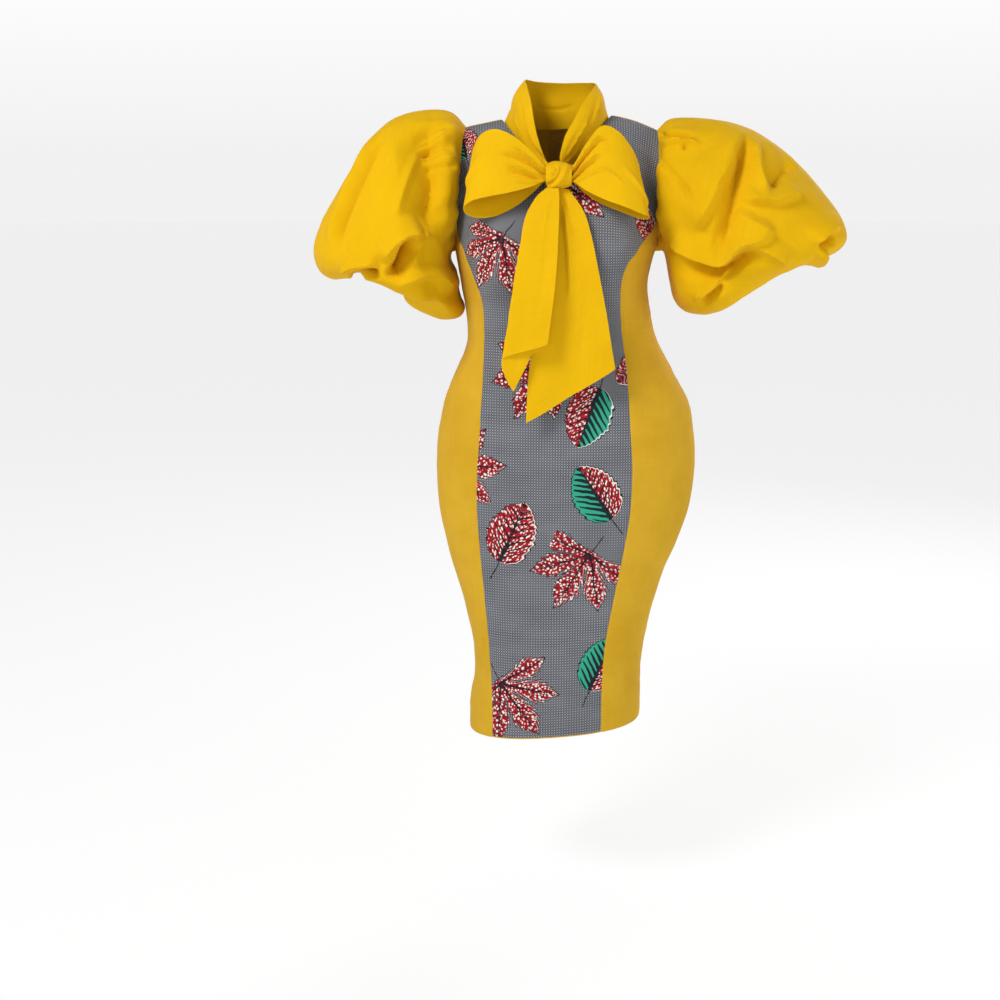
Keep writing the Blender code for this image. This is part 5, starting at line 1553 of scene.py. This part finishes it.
def leaf_shapes(place):
    """The nearest leaf's parts as masks, and where a place lies among its veins."""
    x, y, code = place.parts()
    code = code / LEAF_CODE
    kind = code.math("FLOOR")
    rim_left = kind.above(RIM_ON_LEFT - 0.5, KIND_SOFT)
    kind = kind - rim_left * RIM_ON_LEFT
    size = code.fraction() * LONGEST_LEAF
    hand = kind.above(HAND - 0.5, KIND_SOFT)
    two_tone = kind.above(TWO_TONE - 0.5, KIND_SOFT) * (1 - hand)
    right_side = x.above(0.0, SIDE_SOFT)

    up = y + PALM_LOW
    hand_parts, reach = hand_blade(x, up)
    blades = zip(oval_blade(x, y), hand_parts)
    along, out, half, vein = (of_oval.between(of_hand, hand) for of_oval, of_hand in blades)
    inside = (half - out) * size.between(size * reach, hand)
    on_blade = along.above(0.0, TIP_SOFT) * (1 - along.above(1.0, TIP_SOFT))
    blade = inside.above(0.0, LINE_SOFT) * on_blade
    outline = inside.above(-OUTLINE, OUTLINE_SOFT) * (1 - blade)
    outline = outline * along.above(OUTLINE_FROM, TIP_SOFT) * (1 - along.above(OUTLINE_TO, TIP_SOFT))
    rim_side = (x * (1 - rim_left * 2)).above(0.0, 2 * SIDE_SOFT)
    rim = (1 - inside.above(RIM, RIM_SOFT)) * rim_side * blade * (1 - hand * RIM_HAND_LESS)

    midrib_half = (1 - along).math("MAXIMUM", 0.0) * (MIDRIB_BASE - hand * MIDRIB_HAND_LESS) + MIDRIB_TIP
    midrib = 1 - out.above(midrib_half, MIDRIB_SOFT)
    taper = (1 - out / (half + 0.001)).math("MAXIMUM", 0.0)
    vein_half = (taper * VEIN_BASE + VEIN_TIP) * (1 - hand * VEIN_HAND_LESS)
    vein_half = vein_half * (two_tone * right_side * GREEN_VEINS + 1)
    side_vein = 1 - abs(vein.fraction() - 0.5).above(vein_half, VEIN_SOFT)
    ink = midrib.math("MAXIMUM", side_vein * (1 - out.above(half * VEIN_END, 2 * SIDE_SOFT))) * blade

    below = (along * -1).between(up * -1, hand)
    bend = (x + below * below * STEM_BEND) * size
    stem = (1 - abs(bend).above(STEM_HALF, LINE_SOFT)) * below.above(STEM_FROM, TIP_SOFT)
    stem = stem * (1 - below.above(STEM_LENGTH, SIDE_SOFT)) * (1 - blade)
    return {
        "hand": hand, "green": two_tone * right_side, "blade": blade, "outline": outline,
        "rim": rim, "ink": ink, "stem": stem, "vein": vein, "out": out,
    }


def speckles(cloth, leaf):
    """Resist spots left undyed: round on the hands, drawn out along the veins of the ovals."""
    per_vein, per_width = SPECKLES_ALONG_VEINS
    drawn = leaf["out"].joined(leaf["vein"] * per_vein, leaf["out"] * per_width)
    settings = {"voronoi_dimensions": "2D"}
    masks = []
    for vector, scale, half in ((cloth, 1 / SPECKLE_PITCH, SPECKLE_HALF), (drawn, 1.0, DRAWN_HALF)):
        sockets = {"Vector": vector, "Scale": scale, "Randomness": 0.85}
        spot = vector.node("TexVoronoi", settings, sockets, "Distance")
        each = vector.node("TexVoronoi", settings, sockets, "Color").parts()[0]
        masks.append(1 - spot.above(each * SPECKLE_SPREAD + half - SPECKLE_LESS, SPECKLE_SOFT))
    return masks[1].between(masks[0], leaf["hand"])


def dotted_ground(cloth, dyes):
    """Grey ground with a lattice of light dots and smaller ones between them."""
    masks = []
    u, v, _ = cloth.parts()
    for shift, half in ((0.0, DOT_HALF), (0.5, SMALL_DOT_HALF)):
        across, up = ((place / DOT_PITCH + shift).fraction() - 0.5 for place in (u, v))
        masks.append(1 - (across * across + up * up).above(half * half, DOT_SOFT))
    strength = (cloth.noise(GROUND_CLOUDS, detail=3.0, roughness=0.6) - 0.5) * 0.5 + DOT_STRENGTH
    dots = masks[0].math("MAXIMUM", masks[1] * SMALL_DOT_STRENGTH) * strength
    streaks = cloth.stretched(1, 2.2, 1).noise(GROUND_STREAKS)
    return streaks.ramp((0.36, dyes.ground_deep), (0.64, dyes.ground)).dyed(dyes.dots, dots)


def printed_finish():
    """Wax-resist print: leaves in red, green and cream over dotted grey, with thin ink lines."""
    dyes = bpy.context.scene.dress_print
    material, shader, start = new_finish("leaf_print_cotton", roughness=PRINT_ROUGHNESS, **CLOTH_SHEEN)
    cloth = start.on_cloth()
    u, v, _ = cloth.parts()
    wobble = (cloth.noise(WOBBLES) - 0.5) * WOBBLE
    stray = wobble + (cloth.noise(DRIFTS, detail=1.0) - 0.5) * DRIFT
    drawn = cloth.joined(u + stray, v - stray)
    leaf = leaf_shapes(nearest_leaf(drawn))
    red = cloth.noise(RED_CLOUDS).ramp((0.3, dyes.red_deep), (0.7, dyes.red))
    blade = red.dyed(dyes.cream, speckles(drawn, leaf))
    blade = blade.dyed(dyes.green, leaf["green"])
    blade = blade.dyed(dyes.ink, leaf["ink"] * INK_SHARE)
    blade = blade.dyed(dyes.cream, leaf["rim"] * RIM_SHARE)
    lines = (leaf["outline"] + leaf["stem"]).math("MINIMUM", 1.0)
    colour = dotted_ground(cloth, dyes).dyed(dyes.ink, lines).dyed(blade, leaf["blade"])
    _, slubs, rough, bump = weave(cloth, PRINT_ROUGHNESS, PRINT_PATCHY)
    colour = colour.dyed(dyes.ground_deep, slubs.above(PRINT_WORN_FROM, SLUB_STEP) * PRINT_WORN_SHARE)
    connect(shader, base_color=colour, roughness=rough, normal=bump)
    return material


# ---- Sizes and colours a user can change ----
def colour_property(name, description, default):
    limits = {"subtype": "COLOR", "min": 0, "max": 1}
    return FloatVectorProperty(name=name, description=description, default=srgb(*default), **limits)


def count_property(name, description, default):
    return IntProperty(name=name, description=description, default=default, min=4, max=400)


def cloth_property(name, description, default):
    limits = {"min": 0, "max": 0.1, "precision": 4, "unit": "LENGTH"}
    return FloatProperty(name=name, description=description, default=default, **limits)


def studio_property(name, description, default, unit="NONE"):
    return FloatProperty(name=name, description=description, default=default, unit=unit)


class DressSizes(bpy.types.PropertyGroup):
    """Cloth thicknesses and how finely each piece is made."""

    panel_cloth: cloth_property("Panel cloth", "Thickness of the body's and sleeves' cloth", 0.0010)
    tie_cloth: cloth_property("Tie cloth", "Thickness of the doubled cloth of collar and bow", 0.0015)
    band_cloth: cloth_property("Band cloth", "Thickness of the sleeve bands", 0.0014)
    front_columns: count_property("Front columns", "Columns across each half of the front panel", 36)
    side_columns: count_property("Side columns", "Columns across each front side panel", 24)
    back_columns: count_property("Back columns", "Columns across each half of the back", 56)
    sleeve_columns: count_property("Sleeve columns", "Columns round each sleeve", 316)
    sleeve_rows: count_property("Sleeve rows", "Rows down each sleeve", 140)
    band_columns: count_property("Band columns", "Columns round each sleeve band", 120)
    collar_columns: count_property("Collar columns", "Columns along the tie collar", 210)
    collar_rows: count_property("Collar rows", "Rows up the tie collar", 30)
    loop_columns: count_property("Loop columns", "Columns along each bow loop", 130)
    loop_rows: count_property("Loop rows", "Rows across each bow loop", 36)
    knot_columns: count_property("Knot columns", "Columns round the knot", 90)
    knot_rows: count_property("Knot rows", "Rows along the knot", 32)
    tail_columns: count_property("Tail columns", "Columns across each hanging end", 80)
    tail_rows: count_property("Tail rows", "Rows down each hanging end", 110)


class DressDyes(bpy.types.PropertyGroup):
    """The plain cloth's colours."""

    sleeve: colour_property("Sleeve yellow", "Dye of the sleeves and their bands", (225, 176, 6))
    sleeve_deep: colour_property("Sleeve deep yellow", "The same dye where it took more", (218, 169, 4))
    tie: colour_property("Tie yellow", "Dye of collar and bow", (227, 178, 8))
    tie_deep: colour_property("Tie deep yellow", "The same dye where it took more", (220, 171, 6))
    # The body's two yellows are darker and duller than the sleeves' yellow of the same cloth: partly the
    # panels' own duller tone, and partly painted shade for panels that turn sideways from the light.
    body: colour_property("Body yellow", "Dye of the side and back panels", (209, 165, 43))
    body_deep: colour_property("Body deep yellow", "The same dye where it took more", (198, 154, 31))
    thread: colour_property("Thread", "Colour of the sewing thread", (224, 168, 30))


class DressPrint(bpy.types.PropertyGroup):
    """The printed cloth's colours."""

    ground: colour_property("Ground", "Dotted ground between the leaves", (90, 92, 98))
    ground_deep: colour_property("Deep ground", "The ground where the dye took more", (76, 78, 84))
    dots: colour_property("Dots", "The ground's light dots", (172, 175, 180))
    red: colour_property("Leaf red", "The leaves' red", (178, 30, 42))
    red_deep: colour_property("Deep leaf red", "The leaves' red where the dye took more", (142, 22, 34))
    green: colour_property("Leaf green", "The green halves of some leaves", (54, 162, 134))
    cream: colour_property("Cream", "Undyed spots and rims", (238, 233, 224))
    ink: colour_property("Ink", "Outlines, veins and stems", (24, 22, 34))


class DressZip(bpy.types.PropertyGroup):
    """The zip's colours."""

    tape: colour_property("Tape", "Colour of the zip's tape", (196, 150, 40))
    metal: colour_property("Metal", "Colour of slider and pull", (214, 176, 104))
    tarnish: colour_property("Tarnish", "The metal where it has dulled", (150, 116, 60))


class DressStage(bpy.types.PropertyGroup):
    """The studio round the dress."""

    floor_z: studio_property("Floor", "Height of the floor", -1.43, "LENGTH")
    floor_radius: studio_property("Floor radius", "Radius of the floor", 30.0, "LENGTH")
    floor: colour_property("Floor colour", "Colour of the floor", (128, 128, 128))
    floor_glow: studio_property("Floor glow", "Light from within the floor", 0.80)
    key_power: studio_property("Key light", "Power of the main light", 105.0, "POWER")
    fill_power: studio_property("Fill light", "Power of the fill light", 32.0, "POWER")
    top_power: studio_property("Top light", "Power of the top light", 14.0, "POWER")
    back_power: studio_property("Back light", "Power of the light behind", 42.0, "POWER")
    horizon: studio_property("Horizon", "Brightness of the backdrop", 0.98)
    sky: studio_property("Sky", "Brightness above the backdrop", 0.06)


def context_sizes():
    return bpy.context.scene.dress_sizes


# ---- Operators ----
BINDING_GAP = SEAM / 4  # between the print and the binding, as a share of the body's height
CAMERA_PLACE = (0.0, -2.9, -0.05)
CAMERA_TARGET = (-0.0930, 0.0312, -0.6818)
CAMERA_LENS = 58.57
CAMERA_SENSOR = 36
CAMERA_REACH = 100
LIT_MIDDLE = (0.0, 0.0, -0.5)
FLOOR_SIDES = 96
# Each lamp's place and width.
LAMPS = {
    "key": ((-1.9, -2.4, 2.2), 1.2),
    "fill": ((3.0, -1.8, 0.6), 3.0),
    "top": ((0.0, 1.2, 3.0), 3.0),
    "back": ((1.5, 2.6, 0.9), 1.6),
}
# Heights on the backdrop, with their shares of the horizon's brightness, and where the sky's begins.
BACKDROP = ((0.0, 0.9), (0.09, 1.0), (0.30, 0.87))
SKY_HEIGHT = 0.42


def hem_strip(half, height):
    """A half's lowest rows, cut down to that height, for its binding."""
    points = half.points[:2].copy()
    share = height * (UNDERARM_Z - HEM_Z) / np.linalg.norm(points[1, 0] - points[0, 0])
    points[1] = mix(points[0], points[1], share)
    return Grid(points, half.places[:2], half.normals[:2])


def add_facing(name, data, place, target):
    """A lamp or camera at its place, turned towards its target."""
    obj = bpy.data.objects.new(name, data)
    obj.location = place
    obj.rotation_euler = (Vector(target) - Vector(place)).to_track_quat("-Z", "Y").to_euler()
    bpy.context.scene.collection.objects.link(obj)
    return obj


class Undoable:
    """What all the operators share."""

    bl_options = {"REGISTER", "UNDO"}


class DRESS_OT_front_panel(Undoable, bpy.types.Operator):
    """Makes the printed front panel and the narrow binding along its hem"""

    bl_idname = "dress.front_panel"
    bl_label = "Front Panel"

    def execute(self, context):
        thickness = context.scene.dress_sizes.panel_cloth
        edge = height_of(HEM_Z + HEM_BINDING_HEIGHT)
        front = cloth_shell("front_centre_cloth", front_halves(edge), thickness, printed_finish())
        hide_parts(CUTS["front_centre_cloth"].node)
        strips = [hem_strip(half, edge - BINDING_GAP) for half in front_halves(0)]
        binding = cloth_shell("hem_binding", strips, thickness, cotton("body"))
        return {"FINISHED"}


class DRESS_OT_side_panels(Undoable, bpy.types.Operator):
    """Makes the two plain front side panels"""

    bl_idname = "dress.side_panels"
    bl_label = "Side Panels"

    def execute(self, context):
        thickness = context.scene.dress_sizes.panel_cloth
        for name in NAMES:
            sew(f"front_side_cloth_{name}", front_side_grid(name), thickness, "body")
        return {"FINISHED"}


class DRESS_OT_back_panels(Undoable, bpy.types.Operator):
    """Makes the two halves of the plain back"""

    bl_idname = "dress.back_panels"
    bl_label = "Back Panels"

    def execute(self, context):
        thickness = context.scene.dress_sizes.panel_cloth
        for name in NAMES:
            sew(f"back_cloth_{name}", back_grid(name), thickness, "body")
        return {"FINISHED"}


class DRESS_OT_sleeves(Undoable, bpy.types.Operator):
    """Makes the two balloon sleeves, gathered at the armhole and at the band"""

    bl_idname = "dress.sleeves"
    bl_label = "Sleeves"

    def execute(self, context):
        thickness = context.scene.dress_sizes.panel_cloth
        for name in NAMES:
            sew(f"sleeve_cloth_{name}", sleeve_grid(name), thickness, "sleeve", LEFTWARD[name])
        return {"FINISHED"}


class DRESS_OT_bands(Undoable, bpy.types.Operator):
    """Makes the bands round the upper arms"""

    bl_idname = "dress.bands"
    bl_label = "Sleeve Bands"

    def execute(self, context):
        thickness = context.scene.dress_sizes.band_cloth
        for name in NAMES:
            sew(f"band_cloth_{name}", band_grid(name), thickness, "sleeve", LEFTWARD[name])
        return {"FINISHED"}


class DRESS_OT_collar(Undoable, bpy.types.Operator):
    """Makes the tie collar round the neck"""

    bl_idname = "dress.collar"
    bl_label = "Tie Collar"

    def execute(self, context):
        sew("collar_cloth", collar_grid(), context.scene.dress_sizes.tie_cloth, "tie", -1)
        return {"FINISHED"}


class DRESS_OT_bow(Undoable, bpy.types.Operator):
    """Makes the bow: its knot, its two loops and its two hanging ends"""

    bl_idname = "dress.bow"
    bl_label = "Bow"

    def execute(self, context):
        sizes = context.scene.dress_sizes
        sew("knot_cloth", knot_grid(), sizes.tie_cloth, "tie")
        for name in NAMES:
            sew(f"loop_cloth_{name}", loop_grid(name), sizes.tie_cloth, "tie", -LEFTWARD[name])
            sew(f"tail_cloth_{name}", tail_grid(name), sizes.panel_cloth, "tie", -LEFTWARD[name])
        return {"FINISHED"}


class DRESS_OT_stitching(Undoable, bpy.types.Operator):
    """Sews the stitches above the hem and round the sleeve bands"""

    bl_idname = "dress.stitching"
    bl_label = "Stitching"

    def execute(self, context):
        stitch = STITCH_PITCH, STITCH_SIZE, STITCH_ABOVE
        bm = bmesh.new()
        for grid in (*front_halves(0), *map(front_side_grid, NAMES), *map(back_grid, NAMES)):
            row = nearest_row(grid, HEM_Z + HEM_STITCH_RISE + HEM_TILT * grid.points[0, :, 0].mean())
            add_beads(bm, grid_line(grid, row), *stitch)
        add_object("hem_stitches", bm, thread_finish())
        for name in NAMES:
            bm = bmesh.new()
            grid = band_grid(name)
            inner = grid.points - grid.normals * context.scene.dress_sizes.band_cloth
            for row in (1, -2):
                add_beads(bm, grid_line(Grid(inner, grid.places, -grid.normals), row), *stitch)
            add_object(f"band_stitches_{name}", bm, thread_finish())
        return {"FINISHED"}


class DRESS_OT_zip(Undoable, bpy.types.Operator):
    """Makes the zip's tape and teeth, and finishes its slider and pull"""

    bl_idname = "dress.zip"
    bl_label = "Zip"

    def execute(self, context):
        grid = tape_grid()
        tape = cloth_shell("zip_tape_cloth", [grid], ZIP_TAPE_CLOTH, tape_finish(), -1)
        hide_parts(CUTS["zip_tape_cloth"].node)
        bm = bmesh.new()
        line = grid_line(grid, np.s_[:, TAPE_COLUMNS // 2])
        add_beads(bm, line, TOOTH_PITCH, TOOTH_SIZE, TAPE_DEPTH - TEETH_DEPTH, zigzag=TOOTH_SHIFT)
        brass = metal_finish()
        teeth = add_object("zip_teeth", bm, brass)
        for name in ("zip_slider", "zip_pull"):
            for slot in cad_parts[name].material_slots:
                slot.link = "OBJECT"
                slot.material = brass
        return {"FINISHED"}


class DRESS_OT_stage(Undoable, bpy.types.Operator):
    """Sets the floor, the lights, the backdrop and the camera"""

    bl_idname = "dress.stage"
    bl_label = "Studio"

    def execute(self, context):
        scene, stage = context.scene, context.scene.dress_stage
        bm = bmesh.new()
        made = bmesh.ops.create_circle(bm, cap_ends=True, segments=FLOOR_SIDES, radius=stage.floor_radius)
        bmesh.ops.translate(bm, vec=(0, 0, stage.floor_z), verts=made["verts"])
        mesh = bpy.data.meshes.new("studio_floor")
        bm.to_mesh(mesh)
        bm.free()
        floor = bpy.data.objects.new("studio_floor", mesh)
        scene.collection.objects.link(floor)
        mesh.materials.append(floor_finish())
        for name, (place, width) in LAMPS.items():
            lamp = bpy.data.lights.new(f"{name}_light", "AREA")
            lamp.shape, lamp.size, lamp.energy = "DISK", width, getattr(stage, f"{name}_power")
            add_facing(f"{name}_light", lamp, place, LIT_MIDDLE)
        world = bpy.data.worlds.new("studio_backdrop")
        world.use_nodes = True
        height = Strand(world.node_tree).node("TexCoord", output="Generated").parts()[2]
        bands = [(place, (stage.horizon * share,) * 3) for place, share in BACKDROP]
        tone = height.ramp(*bands, (SKY_HEIGHT, (stage.sky,) * 3))
        connect(world.node_tree.nodes["Background"], color=tone)
        scene.world = world
        lens = bpy.data.cameras.new("camera")
        lens.lens, lens.sensor_width, lens.clip_end = CAMERA_LENS, CAMERA_SENSOR, CAMERA_REACH
        scene.camera = add_facing("camera", lens, CAMERA_PLACE, CAMERA_TARGET)
        scene.view_settings.view_transform = "Standard"
        return {"FINISHED"}


class DRESS_PT_pieces(bpy.types.Panel):
    """Lists the dress's operators in the sidebar"""

    bl_label = "Dress"
    bl_idname = "DRESS_PT_pieces"
    bl_space_type = "VIEW_3D"
    bl_region_type = "UI"
    bl_category = "Dress"

    def draw(self, context):
        for operator in OPERATORS:
            self.layout.operator(operator.bl_idname)


OPERATORS = (
    DRESS_OT_front_panel,
    DRESS_OT_side_panels,
    DRESS_OT_back_panels,
    DRESS_OT_sleeves,
    DRESS_OT_bands,
    DRESS_OT_collar,
    DRESS_OT_bow,
    DRESS_OT_stitching,
    DRESS_OT_zip,
    DRESS_OT_stage,
)
GROUPS = {
    "dress_sizes": DressSizes,
    "dress_dyes": DressDyes,
    "dress_print": DressPrint,
    "dress_zip": DressZip,
    "dress_stage": DressStage,
}
CLASSES = (*GROUPS.values(), *OPERATORS, DRESS_PT_pieces)


def register():
    for cls in CLASSES:
        bpy.utils.register_class(cls)
    for name, group in GROUPS.items():
        setattr(bpy.types.Scene, name, PointerProperty(type=group))


def unregister():
    for name in GROUPS:
        delattr(bpy.types.Scene, name)
    for cls in reversed(CLASSES):
        bpy.utils.unregister_class(cls)


def main():
    register()
    for operator in OPERATORS:
        module, name = operator.bl_idname.split(".")
        getattr(getattr(bpy.ops, module), name)()


if __name__ == "__main__":
    main()
